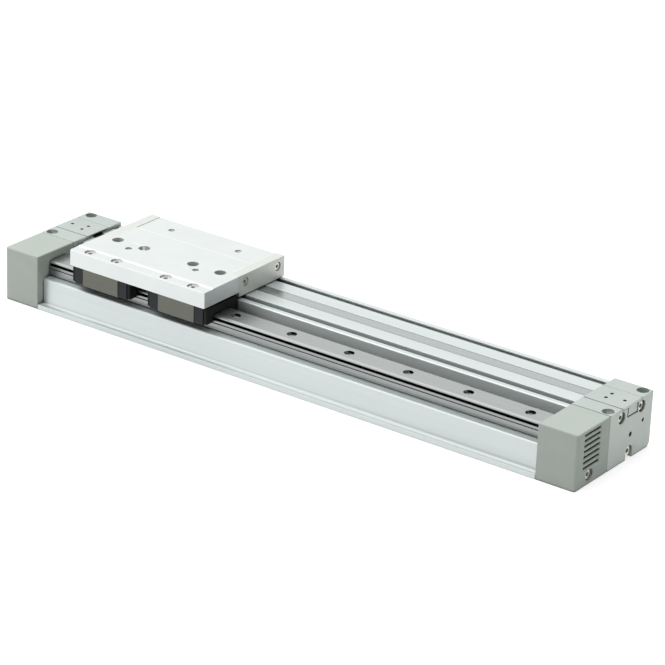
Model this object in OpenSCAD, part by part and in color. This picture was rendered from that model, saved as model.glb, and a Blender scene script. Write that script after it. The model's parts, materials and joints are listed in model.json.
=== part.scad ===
// Rodless air cylinder with a linear guide: a belted bore, a piston with a yoke through the
// slot, and a slide table carried on one rail. X runs along the stroke, Z is up, and the
// origin is at the middle of the footprint on the mounting surface. All sizes in mm.

/* [Stroke and length] */
// Travel of the slide table
stroke = 200; // [60:10:400]
// Length of each end cover along the stroke
cover_len = 25; // [24:0.5:32]
// Gap between the table and the left cover at the start of the travel
left_gap = 24; // [20:0.5:60]
// Gap between the table and the right cover at the end of the travel
right_gap = 26; // [20:0.5:60]

/* [Cross-section, from the near side to the far side] */
// Foot flange beyond the tube's near face
foot_near = 5.4; // [4:0.1:7]
// Tube between its near face and the rail
rail_margin = 5.3; // [4.4:0.1:7]
// Tube between the guide blocks and the bore
belt_side = 10.8; // [10.4:0.1:13]
// Tube beyond the bore
far_side = 11.6; // [11.2:0.1:14]
// Foot flange beyond the tube's far face
foot_far = 0.4; // [0.2:0.1:2]
// Metal cover's reach over the side of the belted part
seam_in = 1.5; // [1:0.1:2]

/* [Cross-section, upwards] */
// Bore of the cylinder
bore_d = 20; // [16:0.5:25]
// Metal under the bore
bore_floor = 7.8; // [7.2:0.1:10]
// Metal over the bore
bore_roof = 3.2; // [3:0.1:4]
// Drop of the strip along the belted part's near side
strip_drop = 1.1; // [0.6:0.1:2]
// Drop of the rail seat below the tube's top face
seat_drop = 12.6; // [11.8:0.1:13]
// Drop of the ledges on either side of the rail seat
ledge_drop = 0.2; // [0.1:0.1:1]
// Thickness of the foot flange
foot_h = 3; // [2:0.1:3.6]
// Width of the open slot in the bore
slot_w = 5; // [4.6:0.1:5.6]
// Width of the far top groove's mouth
groove_w = 4.1; // [3:0.1:4.4]
// Depth of the two top grooves
groove_depth = 3.5; // [2:0.1:3.8]
// Distance of the top grooves from the bore's wall
groove_reach = 6.4; // [6.2:0.1:6.8]

/* [End covers] */
// Rise of the end covers above the tube
cover_rise = 2.2; // [2:0.1:4]
// Bevel on the lower far edge of the metal cover
cover_bevel = 3; // [0.5:0.5:3.5]
// Diameter of the counterbores in the covers' end faces
cover_bore_d = 7; // [6.2:0.1:7.2]
// Thickness of the belt clamp's plate
clamp_t = 1.6; // [1.3:0.1:1.7]
// Drop of the clamp's notch in the end face below the tube's top
notch_drop = 5.1; // [4:0.1:6]
// Depth of that notch
notch_depth = 3; // [2:0.1:4]
// Drop of the clamp's tab behind the end face
tab_sunk = 0.4; // [0.2:0.1:1]
// Depth of the open slot beside the tab
slot_depth = 8; // [5:0.5:10]
// Depth of the mouth under the clamp where the dust band enters
mouth_depth = 5; // [3:0.5:6]
// Rise of that mouth into the clamp's plate
mouth_rise = 0.7; // [0.4:0.1:0.8]
// Wall of the moulded rail cover
shell_wall = 1.8; // [1.2:0.1:2]
// Round of the moulded cover's outer corner
corner_r = 1.6; // [0.5:0.1:1.8]
// Number of vent slots
vent_count = 7; // [3:1:8]
// Height of a vent slot
vent_h = 1.4; // [0.8:0.1:1.6]
// Width of a vent slot
vent_w = 15.8; // [8:0.2:18]
// Distance of a cover mounting hole from the end face
mount_in = 4.5; // [4.2:0.1:5]
// Distance of the mounting holes from the bore's wall
mount_reach = 8; // [7.4:0.1:8.4]
// Diameter of the mounting holes
mount_d = 3.6; // [3:0.1:4.2]
// Diameter of the mounting counterbores
mount_head_d = 7; // [5.6:0.1:7.2]
// Depth of the mounting counterbores
mount_head_depth = 8; // [3:0.5:14]
// Nominal diameter of the air ports
port_d = 5; // [4:0.5:6]
// Depth of the port threads
port_depth = 7; // [5:0.5:9]
// Diameter of the plug in the end face
plug_d = 3; // [2:0.5:4]
// Diameter of the cushion needle
needle_d = 2.2; // [1.8:0.1:2.4]

/* [Belts] */
// Width of the outer dust band
band_w = 7.7; // [7:0.1:8.4]
// Thickness of the outer dust band
band_t = 0.4; // [0.3:0.05:0.5]
// Depth of the dust band's seat under the tube's top face
band_seat = 0.5; // [0.45:0.05:0.9]
// Gap between the dust band and either side of its seat
band_side = 0.45; // [0.3:0.05:0.6]
// Depth of the groove in the seat's floor along that gap
band_relief = 0.6; // [0.3:0.1:0.8]
// Width of the inner seal belt
belt_w = 8; // [7.4:0.1:8.8]
// Thickness of the inner seal belt
belt_t = 0.8; // [0.6:0.05:0.9]
// Free height over the dust band in the table
band_headroom = 1.7; // [1:0.1:1.9]
// Depth that the seal belt dips to under the yoke's neck
belt_dip = 5.4; // [4:0.1:6]

/* [Guide rail] */
// Width of the rail
rail_w = 15; // [14:0.2:18]
// Height of the rail
rail_h = 9.5; // [8.5:0.1:11]
// Gap between the rail end and the cover
rail_end_gap = 0.3; // [0:0.1:1]
// Spacing of the rail screws
rail_pitch = 40; // [30:5:60]
// Shift of the row of rail screws towards the left end
rail_shift = 1.2; // [0:0.1:2]
// Diameter of the counterbores in the rail
rail_head_d = 6; // [5.8:0.1:6.4]
// Depth of the counterbores in the rail
rail_head_depth = 4.8; // [3.6:0.1:5]
// Drop of the ball track's middle below the rail's top
track_drop = 2.3; // [2:0.1:2.6]
// Height of the ball track in the rail
track_h = 1.6; // [1.2:0.1:1.8]
// Drop of the fine groove in the flank below the rail's top
line_drop = 5.1; // [4.4:0.1:6]
// Depth of the ball track in the rail
track_depth = 1.2; // [1:0.1:1.4]

/* [Guide blocks] */
// Guide block beyond the rail on either side
block_side = 8; // [7.6:0.1:9]
// Thickness of a guide block over the rail
block_roof = 6.1; // [5.4:0.1:7]
// Height of the blocks' underside above the rail seat
block_lift = 4.2; // [4:0.1:5]
// Length of the steel body of a guide block
steel_len = 26.3; // [25:0.1:27]
// Length of each end cap
cap_len = 6.35; // [5:0.05:6.6]
// Thickness of the end seal
end_seal_t = 2; // [1:0.1:2.4]
// Drop of the end caps below the steel body's top
cap_drop = 1; // [0.4:0.1:1.6]
// Spacing of the block screws along the stroke
block_pitch_x = 20; // [18:0.5:21]
// Distance of the block screws from the rail's flank
block_screw_side = 5; // [4.4:0.1:5.2]

/* [Slide table] */
// Length of the table
table_len = 100; // [90:1:140]
// Thickness of the table
table_t = 10.2; // [8.6:0.1:12]
// Near edge of the table, inside the covers' near side
table_near_in = 1.3; // [0.5:0.1:2]
// Far edge of the table, inside the covers' far side
table_far_in = 0.2; // [0:0.1:1]
// Drop of the table's two side zones below the middle one
zone_step = 0.4; // [0.2:0.1:0.8]
// Width of the bevel at each zone's border
zone_bevel = 1.3; // [0.6:0.1:1.6]
// Near border of the middle zone, from the middle of the rail
zone_near = 8.5; // [8:0.1:8.8]
// Far border of the middle zone, from the bore axis
zone_far = 1.6; // [0:0.1:5]
// Depth of the pocket for the yoke's saddle
pocket_depth = 3.8; // [3.4:0.1:4.2]
// Thickness of the plate at each end of the table
plate_t = 6.5; // [5.5:0.1:8]
// Gap between the end plates and the tube
plate_gap = 0.6; // [0.5:0.1:1.4]
// Near edge of the end plates beyond the belted part
plate_near_in = 1.3; // [0.5:0.1:2]
// Spacing of the four work holes along the stroke
work_pitch_x = 50; // [48:1:54]
// Spacing of the four work holes across the stroke
work_pitch_y = 40; // [38:0.5:40.5]
// Middle of the work holes, from the bore axis towards the rail
work_shift = 10.4; // [10.2:0.1:10.6]
// Nominal diameter of the work holes
work_d = 4; // [3:0.5:4]
// Depth of the work holes
work_depth = 5; // [3:0.5:5]
// Depth of the near row of block screw seats
near_seat = 4.2; // [3.8:0.1:5]
// Depth of the far row of block screw seats
far_seat = 6.4; // [5:0.1:6.6]
// Diameter of the table's counterbores over the block screws
table_bore_d = 7; // [6.2:0.1:7.4]

/* [Piston and yoke] */
// End of the yoke's round body, inside the table's end
yoke_in = 20; // [18:0.5:21]
// End of the neck through the slot, inside the table's end
neck_in = 32; // [32:0.5:35]
// End of the saddle above the tube, inside the table's end
saddle_in = 25; // [23:0.5:26]
// Wall of the saddle on either side of the dust band's channel
saddle_wall = 4.5; // [3:0.1:4.6]
// Length of the spigot on the head cover
spigot_len = 6; // [5:0.5:8]
// Length of the cushion ring inside the tube
cushion_len = 14; // [8:1:15]
// Diameter of the cushion ring
cushion_d = 6.8; // [6:0.1:7]

/* [Screws] */
// Thread of the main cap screws
screw_d = 3; // [2.5:0.5:3]
// Head diameter of the main cap screws
head_d = 5.5; // [4.8:0.1:5.6]
// Head height of the main cap screws
head_h = 3; // [2:0.1:3.2]
// Bite of the rail screws and the block screws in what carries them
main_bite = 4.2; // [3:0.1:4.4]
// Thread of the end plate screws, and the height of their heads
plate_screw_d = 2.5; // [2:0.1:2.6]
// Head diameter of the end plate screws
plate_head_d = 4.5; // [4:0.1:4.6]
// Distance of the end plate screws from the line of the bore's wall
plate_screw_reach = 5.35; // [5:0.05:5.6]
// Bite of the end plate screws in the table
plate_bite = 6; // [4:0.5:7]
// Diameter of the belt clamp's set screws
set_screw_d = 2; // [1.6:0.1:2.2]
// Distance of the paired set screws from the band's middle
set_screw_off = 3.1; // [2.6:0.1:3.2]

/* [Hidden] */
$fn = 48;

// working clearances
fit = 0.05;           // a screw in its thread, a piece in its recess
hole_gap = 0.4;       // on the diameter of a screw's through hole
slide = 0.4;          // between the rail and the guide blocks
block_gap = 0.3;      // between the guide blocks and the belted part
head_gap = 0.5;       // round a screw head in its counterbore
head_sunk = 1.2;      // a cover screw's head below the end face
clamp_gap = 0.45;     // round the belt clamp's plate and its tab
belt_side_gap = 0.2;  // each side of the seal belt in its seat
neck_gap = 0.3;       // each side of the neck in the slot
belt_gap = 0.35;      // round a belt in its tunnel
run_gap = 0.07;       // a seal or wear ring in the bore
piston_gap = 0.4;     // the piston's own body in the bore
end_gap = 0.5;        // the piston's end face from the spigot at the end of the travel
cut = 1;              // how far a cut runs past the face that it opens

// lengths along the stroke
tube_len = stroke + table_len + left_gap + right_gap;
body_half = tube_len / 2;
end_x = body_half + cover_len;
carriage_x = left_gap + table_len / 2 - body_half;
rail_len = tube_len - 2 * rail_end_gap;
piston_reach = min(left_gap, right_gap) + table_len / 2 - spigot_len - end_gap;
yoke_half = table_len / 2 - yoke_in;
neck_half = table_len / 2 - neck_in;
saddle_half = table_len / 2 - saddle_in;
block_len = steel_len + 2 * (cap_len + end_seal_t);
block_inset = 0.3;
block_off = table_len / 2 - block_len / 2 - block_inset;

// heights
bore_r = bore_d / 2;
bore_z = bore_floor + bore_r;
tube_h = bore_z + bore_r + bore_roof;
cover_h = tube_h + cover_rise;
strip_z = tube_h - strip_drop;
seat_z = tube_h - seat_drop;
ledge_z = seat_z - ledge_drop;
table_bottom_z = seat_z + rail_h + slide + block_roof;
table_top_z = table_bottom_z + table_t;
block_bottom_z = seat_z + block_lift;
plate_bottom_z = tube_h + plate_gap;
band_z = tube_h - band_seat;
belt_z = bore_z + bore_r + fit;
belt_top_z = belt_z + belt_t + fit;

// places across the width
block_w = rail_w + 2 * block_side;
near_part = foot_near + rail_margin + rail_w + block_side + block_gap;
far_part = belt_side + bore_d + far_side + foot_far;
cover_far_y = (near_part + far_part) / 2;
cover_near_y = -cover_far_y;
tube_near_y = cover_near_y + foot_near;
rail_y = tube_near_y + rail_margin + rail_w / 2;
belt_wall_y = rail_y + block_w / 2 + block_gap;
bore_y = belt_wall_y + belt_side + bore_r;
tube_far_y = bore_y + bore_r + far_side;
seam_y = belt_wall_y - seam_in;

// tube details
near_groove_y = bore_y - bore_r - groove_reach;
far_groove_y = bore_y + bore_r + groove_reach;
near_lip = 0.7;
side_groove_in = 2.5;
side_groove_top = 7.5;

// head cover features, measured from the bore's wall and axis
cap_reach = 0.4;
cap_low = 0.4;
cap_off = bore_r + cap_reach;
cap_z = bore_z + cap_off - cap_low;
low_cap_drop = 3.2;
low_cap_z = bore_floor - low_cap_drop;
needle_reach = 2.4;
needle_rise = 1.2;
needle_off = bore_r + needle_reach;
needle_z = bore_z + needle_rise;
needle_len = 8;
plug_drop = 3;
plug_z = bore_z - plug_drop;
plug_len = 6;
clamp_reach = 0.3;
clamp_half_w = bore_r + clamp_reach;
clamp_z = cover_h - clamp_t;
rail_cap_near = 4.2;
rail_cap_y = rail_y - rail_cap_near;
rail_cap_z = 5.6;
rail_cap_boss_r = 4.4;
screw_in = 8;
cover_bore_depth = head_h + head_sunk;
port_in = cover_len / 2;
notch_wall = 0.5;
slot_open = 1.6;
notch_far = cap_off - cover_bore_d / 2 - notch_wall;
notch_near = notch_far - slot_open;
notch_z = tube_h - notch_drop;
tab_near = notch_near - slot_open;
band_stop = 1;
band_in = cover_len - notch_depth - band_stop;
belt_in = cover_len / 2;
set_in = cover_len * 0.4;
set_out = cover_len * 0.8;
mount_off = bore_r + mount_reach;
spigot_r = bore_r - fit;
gasket_r = 0.7;
cushion_seat = 4;
cushion_wall = 1.2;
seam_line = 0.5;
thread_end = 0.4;

// vents, spread between the cover's top and its screw
vent_drop = 2.6;
vent_over = 1.1;
vent_near = 3;
vent_top = cover_h - vent_drop;
vent_low = rail_cap_z + rail_cap_boss_r + vent_over;
vent_pitch = (vent_top - vent_low) / (vent_count - 1);
vent_mid_y = rail_y - vent_near;

// table details
table_near_y = cover_near_y + table_near_in;
table_far_y = cover_far_y - table_far_in;
zone_near_y = rail_y - zone_near;
zone_far_y = bore_y - zone_far;
work_y = bore_y - work_shift;
plate_near_y = belt_wall_y - plate_near_in;
plate_screw_off = bore_r + plate_screw_reach;
plate_screw_z = table_top_z - table_t / 2;
plate_head_sunk = 0.7;
plate_head_depth = plate_screw_d + plate_head_sunk;
block_screw_off = rail_w / 2 + block_screw_side;

// the saddle's pocket in the table, and the path of the belts over and under the yoke
tunnel_half_w = belt_w / 2 + belt_gap;
channel_half_w = band_w / 2 + belt_gap;
saddle_half_w = channel_half_w + saddle_wall;
pocket_half_w = saddle_half_w + fit;
pocket_top = table_bottom_z + pocket_depth;
pocket_half = table_len / 2 - plate_t;
band_lift = pocket_top - band_headroom - band_t - band_z;
ramp_start = 1;
ramp_stop = 1.5;
dip_start = 2;
dip_stop = 0.5;
ramp_in = saddle_half + ramp_start;
ramp_out = pocket_half - ramp_stop;
dip_in = neck_half + dip_start;
dip_out = yoke_half - dip_stop;
ramp_steps = 8;
yoke_gap = 0.8;
yoke_r = bore_r - yoke_gap;

// piston
piston_r = bore_r - piston_gap;
ring_r = bore_r - run_gap;
seal_groove = 1.6;
wear_groove = 1;
seal_w = 2.6;
seal_in = 5;
seal_core_r = bore_r - seal_groove;
wear_w = 5;
wear_in = 24;
wear_core_r = bore_r - wear_groove;
spigot_pin_r = bore_r / 2;
spigot_pin_len = 5;
cushion_room = 0.5;

// ---- helpers -------------------------------------------------------------------------

// extrudes an outline drawn in (y, z) along the stroke, from x to x + len
module along_x(x, len) {
    translate([x, 0, 0])
        rotate([90, 0, 90])
            linear_extrude(height = len)
                children();
}

// extrudes an outline drawn in (x, z) across the width, half_w to each side of y
module across_y(y, half_w) {
    translate([0, y + half_w, 0])
        rotate([90, 0, 0])
            linear_extrude(height = 2 * half_w)
                children();
}

// a round bar along the stroke, from x to x + len
module rod_x(x, y, z, d, len) {
    translate([x, y, z])
        rotate([0, 90, 0])
            cylinder(d = d, h = len);
}

// a box given by its two opposite corners
module box(low, high) {
    translate(low)
        cube(high - low);
}

// side is 1 for the right end and -1 for the left one, which is its mirror image
module at_end(side) {
    mirror([side < 0 ? 1 : 0, 0, 0])
        children();
}

module on_carriage() {
    translate([carriage_x, 0, 0])
        children();
}

// a socket head cap screw standing on its seat at z = 0, thread downwards
module cap_screw(d, head, height, len) {
    difference() {
        union() {
            cylinder(d = head, h = height);
            translate([0, 0, -len])
                cylinder(d = d, h = len + height / 2);
        }
        translate([0, 0, height * 0.4])
            cylinder(d = d * 0.95, h = height, $fn = 6);
    }
}

// the same screw with its head towards the outside of the right end
module cap_screw_x(x, y, z, d, head, height, len) {
    translate([x, y, z])
        rotate([0, 90, 0])
            cap_screw(d, head, height, len);
}

// smooth step from 0 to 1
function smooth(t) = (1 - cos(180 * t)) / 2;

// one side of a belt's path from x0 at height z0 to x1 at height z1
function ramp(x0, z0, x1, z1) = [
    for (i = [0 : ramp_steps])
        [x0 + (x1 - x0) * i / ramp_steps, z0 + (z1 - z0) * smooth(i / ramp_steps)]
];

// underside of the dust band, seen from the middle of the table, out to the given ends
function band_path(left, right) = concat(
    [[left, band_z]],
    ramp(-ramp_out, band_z, -ramp_in, band_z + band_lift),
    ramp(ramp_in, band_z + band_lift, ramp_out, band_z),
    [[right, band_z]]
);

// underside of the seal belt in the same way
function belt_path(left, right) = concat(
    [[left, belt_z]],
    ramp(-dip_out, belt_z, -dip_in, belt_z - belt_dip),
    ramp(dip_in, belt_z - belt_dip, dip_out, belt_z),
    [[right, belt_z]]
);

function raised(path, dz) = [for (p = path) [p[0], p[1] + dz]];

function backwards(path) = [for (i = [len(path) - 1 : -1 : 0]) path[i]];

// the strip between a path lowered by under and the same path raised by over
module strip(path, under, over) {
    polygon(concat(raised(path, -under), backwards(raised(path, over))));
}

// ---- tube ----------------------------------------------------------------------------

module tube_outline() {
    foot_chamfer = 0.8;
    strip_bevel = 0.4;
    seat_side = 1;
    polygon([
        [cover_near_y, 0],
        [cover_far_y, 0],
        [cover_far_y, foot_h],
        [tube_far_y - side_groove_in, foot_h],
        [tube_far_y - side_groove_in, side_groove_top],
        [tube_far_y, side_groove_top],
        [tube_far_y, tube_h],
        [near_groove_y + groove_w / 2, tube_h],
        [near_groove_y + groove_w / 2, tube_h - groove_depth],
        [near_groove_y - near_lip, tube_h - groove_depth],
        [near_groove_y - near_lip, strip_z],
        [belt_wall_y + strip_bevel, strip_z],
        [belt_wall_y, strip_z - strip_bevel],
        [belt_wall_y, ledge_z],
        [rail_y + rail_w / 2 + seat_side, ledge_z],
        [rail_y + rail_w / 2 + seat_side, seat_z],
        [rail_y - rail_w / 2 - seat_side, seat_z],
        [rail_y - rail_w / 2 - seat_side, ledge_z],
        [tube_near_y + foot_chamfer, ledge_z],
        [tube_near_y, ledge_z - foot_chamfer],
        [tube_near_y, foot_h],
        [cover_near_y, foot_h]
    ]);
}

// far top groove: a narrow mouth over a wider pocket
module far_groove() {
    lip = 1.2;
    under = 0.6;
    translate([far_groove_y - groove_w / 2, tube_h - groove_depth])
        square([groove_w, groove_depth + cut]);
    translate([far_groove_y - groove_w / 2 - under, tube_h - groove_depth])
        square([groove_w + 2 * under, groove_depth - lip]);
}

// bore, seal belt seat, slot and dust band seat, with a groove along the seat's two sides
module bore_outline() {
    seat_half = belt_w / 2 + belt_side_gap;
    band_half = band_w / 2 + band_side;
    translate([bore_y, bore_z])
        circle(r = bore_r, $fn = 96);
    translate([bore_y - seat_half, bore_z])
        square([2 * seat_half, belt_top_z - bore_z]);
    translate([bore_y - slot_w / 2, bore_z])
        square([slot_w, tube_h - bore_z]);
    translate([bore_y - band_half, band_z])
        square([2 * band_half, band_seat + cut]);
    for (low_y = [-band_half, band_half - band_side])
        translate([bore_y + low_y, band_z - band_relief])
            square([band_side, band_relief + cut]);
}

// hollows that lighten the tube and carry air along it
module tube_hollows() {
    floor_t = 3;
    web = 2.6;
    near_top = ledge_z - 4.8;
    bore_wall = 3;
    far_wall = 1.7;
    passage_w = far_side - bore_wall - side_groove_in - far_wall;
    passage_low = side_groove_top + floor_t;
    step_z = seat_z - 3.8;
    difference() {
        translate([tube_near_y + web, floor_t])
            square([rail_y + rail_w / 2 - tube_near_y - web, near_top - floor_t]);
        translate([rail_cap_y, rail_cap_z])
            circle(d = screw_d + 4);
    }
    polygon([
        [rail_y + rail_w / 2 + web, floor_t],
        [bore_y - bore_r - bore_wall, floor_t],
        [bore_y - bore_r - bore_wall, tube_h - groove_depth - web],
        [belt_wall_y + bore_wall, tube_h - groove_depth - web],
        [belt_wall_y + bore_wall, step_z],
        [rail_y + rail_w / 2 + web, step_z]
    ]);
    translate([bore_y + bore_r + bore_wall, passage_low])
        square([passage_w, tube_h - groove_depth - web - passage_low]);
}

module cylinder_tube() {
    color("silver")
        difference() {
            along_x(-body_half, tube_len)
                difference() {
                    tube_outline();
                    far_groove();
                    bore_outline();
                    tube_hollows();
                }
            for (x = rail_screw_xs())
                translate([x, rail_y, seat_z - main_bite])
                    cylinder(d = screw_d + 2 * fit, h = main_bite + cut);
            for (side = [-1, 1])
                at_end(side) {
                    for (p = cover_caps())
                        rod_x(body_half - screw_in, p[0], p[1], screw_d + 2 * fit, screw_in + cut);
                    rod_x(body_half - screw_in, rail_cap_y, rail_cap_z,
                        screw_d + 2 * fit, screw_in + cut);
                }
        }
}

// ---- end covers ----------------------------------------------------------------------

// the three screws of a head cover, in (y, z)
function cover_caps() = [
    [bore_y - cap_off, cap_z],
    [bore_y + cap_off, cap_z],
    [bore_y, low_cap_z]
];

module head_cover_solid() {
    along_x(body_half, cover_len)
        polygon([
            [seam_y, 0],
            [cover_far_y - cover_bevel, 0],
            [cover_far_y, cover_bevel],
            [cover_far_y, cover_h],
            [seam_y, cover_h]
        ]);
    rod_x(body_half - spigot_len, bore_y, bore_z, 2 * spigot_r, spigot_len + cut);
}

// belt pockets, belt clamp recess and the notch that its tab fills
module head_cover_belt_cuts() {
    band_half = band_w / 2 + band_side;
    belt_half = belt_w / 2 + belt_side_gap;
    box([body_half - cut, bore_y - clamp_half_w, clamp_z],
        [end_x + cut, bore_y + clamp_half_w, cover_h + cut]);
    box([body_half - cut, bore_y - band_half, band_z],
        [end_x - notch_depth, bore_y + band_half, clamp_z + cut]);
    box([body_half - cut, bore_y - belt_half, belt_z],
        [body_half + belt_in, bore_y + belt_half, belt_top_z]);
    box([end_x - notch_depth, bore_y - notch_near, notch_z],
        [end_x + cut, bore_y + notch_far, clamp_z + cut]);
    box([end_x - slot_depth, bore_y - notch_near, notch_z],
        [end_x + cut, bore_y - tab_near, clamp_z + cut]);
}

// screw holes, the low one open downwards, port, air passage and gasket groove
module head_cover_bores() {
    for (p = cover_caps()) {
        rod_x(body_half - cut, p[0], p[1], screw_d + hole_gap, cover_len + 2 * cut);
        rod_x(end_x - cover_bore_depth, p[0], p[1], cover_bore_d, cover_bore_depth + cut);
    }
    box([end_x - cover_bore_depth, bore_y - cover_bore_d / 2, -cut],
        [end_x + cut, bore_y + cover_bore_d / 2, low_cap_z]);
    for (side = [-1, 1])
        translate([end_x - mount_in, bore_y + side * mount_off, 0]) {
            translate([0, 0, -cut])
                cylinder(d = mount_d, h = cover_h + 2 * cut);
            translate([0, 0, cover_h - mount_head_depth])
                cylinder(d = mount_head_d, h = mount_head_depth + cut);
        }
    rod_x(end_x - needle_len, bore_y + needle_off, needle_z, needle_d + 2 * fit, needle_len + cut);
    rod_x(end_x - plug_len, bore_y, plug_z, plug_d, plug_len + cut);
    translate([body_half + port_in, cover_far_y, bore_z])
        rotate([90, 0, 0]) {
            translate([0, 0, -cut])
                cylinder(d = port_d, h = port_depth + cut);
            cylinder(d = port_d * 0.7, h = cover_far_y - bore_y);
        }
    rod_x(body_half - spigot_len - cut, bore_y, bore_z,
        cushion_d - 2 * cushion_wall, spigot_len + port_in + cut);
    rod_x(body_half - spigot_len - cut, bore_y, bore_z, cushion_d, cushion_seat + cut);
    translate([body_half - spigot_len / 2, bore_y, bore_z])
        rotate([0, 90, 0])
            rotate_extrude($fn = 96)
                translate([spigot_r - 2 * gasket_r, -gasket_r - fit])
                    square([2 * gasket_r + cut, 2 * (gasket_r + fit)]);
}

module head_cover(side) {
    color("lightslategray")
        at_end(side)
            difference() {
                head_cover_solid();
                head_cover_belt_cuts();
                head_cover_bores();
            }
}

module head_cover_left() { head_cover(-1); }

module head_cover_right() { head_cover(1); }

module tube_gasket(side) {
    color("black")
        at_end(side)
            translate([body_half - spigot_len / 2, bore_y, bore_z])
                rotate([0, 90, 0])
                    rotate_extrude($fn = 96)
                        translate([spigot_r - gasket_r, 0])
                            circle(r = gasket_r, $fn = 24);
}

module tube_gasket_left() { tube_gasket(-1); }

module tube_gasket_right() { tube_gasket(1); }

module cushion_ring(side) {
    color("gold")
        at_end(side)
            difference() {
                rod_x(body_half - spigot_len - cushion_len, bore_y, bore_z,
                    cushion_d, cushion_len + cushion_seat);
                rod_x(body_half - spigot_len - cushion_len - cut, bore_y, bore_z,
                    cushion_d - 2 * cushion_wall, cushion_len + cushion_seat + 2 * cut);
            }
}

module cushion_ring_left() { cushion_ring(-1); }

module cushion_ring_right() { cushion_ring(1); }

// the clamp plate lies flush in the cover's top, its key presses on the dust band and its
// tab closes the notch in the end face
module belt_clamp(side) {
    key_half = band_w / 2;
    mouth_half = band_w / 2 + band_side;
    color("lightgray")
        at_end(side)
            difference() {
                union() {
                    box([body_half, bore_y - clamp_half_w + clamp_gap, clamp_z],
                        [end_x, bore_y + clamp_half_w - clamp_gap, cover_h]);
                    box([body_half + mouth_depth, bore_y - key_half, band_z + band_t],
                        [end_x - notch_depth, bore_y + key_half, clamp_z + cut / 2]);
                    box([end_x - notch_depth + fit, bore_y - tab_near, notch_z + clamp_gap],
                        [end_x - tab_sunk, bore_y + notch_far - clamp_gap, clamp_z + cut / 2]);
                }
                box([body_half - cut, bore_y - mouth_half, clamp_z - cut],
                    [body_half + mouth_depth, bore_y + mouth_half, clamp_z + mouth_rise]);
                for (p = set_screws())
                    translate([p[0], p[1], band_z])
                        cylinder(d = set_screw_d + 2 * fit, h = cover_h);
            }
}

// the three set screws of a belt clamp, in (x, y)
function set_screws() = [
    [body_half + set_in, bore_y - set_screw_off],
    [body_half + set_in, bore_y + set_screw_off],
    [body_half + set_out, bore_y]
];

module belt_clamp_left() { belt_clamp(-1); }

module belt_clamp_right() { belt_clamp(1); }

module clamp_screws() {
    sunk = 0.3;
    socket = set_screw_d / 2;
    height = cover_h - sunk - band_z - band_t;
    color("dimgray")
        for (side = [-1, 1], p = set_screws())
            at_end(side)
                translate([p[0], p[1], band_z + band_t])
                    difference() {
                        cylinder(d = set_screw_d, h = height);
                        translate([0, 0, height - socket])
                            cylinder(d = socket, h = socket + cut, $fn = 6);
                    }
}

module rail_cover(side) {
    color("lightslategray")
        at_end(side)
            difference() {
                linear_extrude(height = cover_h)
                    rail_cover_plan();
                difference() {
                    box([body_half + shell_wall, cover_near_y + shell_wall, shell_wall],
                        [end_x - shell_wall, seam_y + cut, cover_h - shell_wall]);
                    rod_x(body_half, rail_cap_y, rail_cap_z, 2 * rail_cap_boss_r, cover_len);
                }
                box([body_half - cut, seam_y - seam_line, cover_h - seam_line],
                    [end_x + cut, seam_y + cut, cover_h + cut]);
                box([end_x - seam_line, seam_y - seam_line, -cut],
                    [end_x + cut, seam_y + cut, cover_h + cut]);
                for (i = [0 : vent_count - 1])
                    box([end_x - shell_wall - cut, vent_mid_y - vent_w / 2,
                            vent_top - i * vent_pitch - vent_h / 2],
                        [end_x + cut, vent_mid_y + vent_w / 2,
                            vent_top - i * vent_pitch + vent_h / 2]);
                rod_x(body_half - cut, rail_cap_y, rail_cap_z, screw_d + hole_gap,
                    cover_len + 2 * cut);
                rod_x(end_x - cover_bore_depth, rail_cap_y, rail_cap_z, cover_bore_d,
                    cover_bore_depth + cut);
            }
}

// plan of the moulded cover with its outer near corner rounded
module rail_cover_plan() {
    difference() {
        translate([body_half, cover_near_y])
            square([cover_len, seam_y - cover_near_y]);
        translate([end_x - corner_r, cover_near_y - cut])
            square([corner_r + cut, corner_r + cut]);
    }
    translate([end_x - corner_r, cover_near_y + corner_r])
        circle(r = corner_r);
}

module rail_cover_left() { rail_cover(-1); }

module rail_cover_right() { rail_cover(1); }

module cover_screws() {
    color("gray")
        for (side = [-1, 1], p = cover_caps())
            at_end(side)
                cap_screw_x(end_x - cover_bore_depth, p[0], p[1], screw_d, head_d, head_h,
                    cover_len - cover_bore_depth + screw_in - 1);
}

module rail_cover_screws() {
    color("gray")
        for (side = [-1, 1])
            at_end(side)
                cap_screw_x(end_x - cover_bore_depth, rail_cap_y, rail_cap_z, screw_d, head_d, head_h,
                    cover_len - cover_bore_depth + screw_in - 1);
}

module port_plugs() {
    sunk = 1;
    socket = plug_d / 2;
    color("dimgray")
        for (side = [-1, 1])
            at_end(side)
                difference() {
                    rod_x(end_x - plug_len, bore_y, plug_z, plug_d, plug_len - sunk);
                    translate([end_x - sunk - socket, bore_y, plug_z])
                        rotate([0, 90, 0])
                            cylinder(d = socket, h = socket + cut, $fn = 6);
                }
}

// a slotted adjusting needle that turns in the cover
module cushion_needle(side) {
    sunk = 1;
    slot_half = 0.25;
    slot_depth = 0.7;
    color("gold")
        at_end(side)
            difference() {
                rod_x(end_x - needle_len, bore_y + needle_off, needle_z, needle_d,
                    needle_len - sunk);
                box([end_x - sunk - slot_depth, bore_y + needle_off - needle_d,
                        needle_z - slot_half],
                    [end_x, bore_y + needle_off + needle_d, needle_z + slot_half]);
            }
}

module cushion_needle_left() { cushion_needle(-1); }

module cushion_needle_right() { cushion_needle(1); }

// ---- belts ---------------------------------------------------------------------------

module dust_band() {
    reach = body_half + band_in;
    color("lightsteelblue")
        on_carriage()
            across_y(bore_y, band_w / 2)
                strip(band_path(-reach - carriage_x, reach - carriage_x), 0, band_t);
}

module seal_belt() {
    reach = body_half + belt_in - 0.5;
    color("tan")
        on_carriage()
            across_y(bore_y, belt_w / 2)
                strip(belt_path(-reach - carriage_x, reach - carriage_x), 0, belt_t);
}

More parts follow.
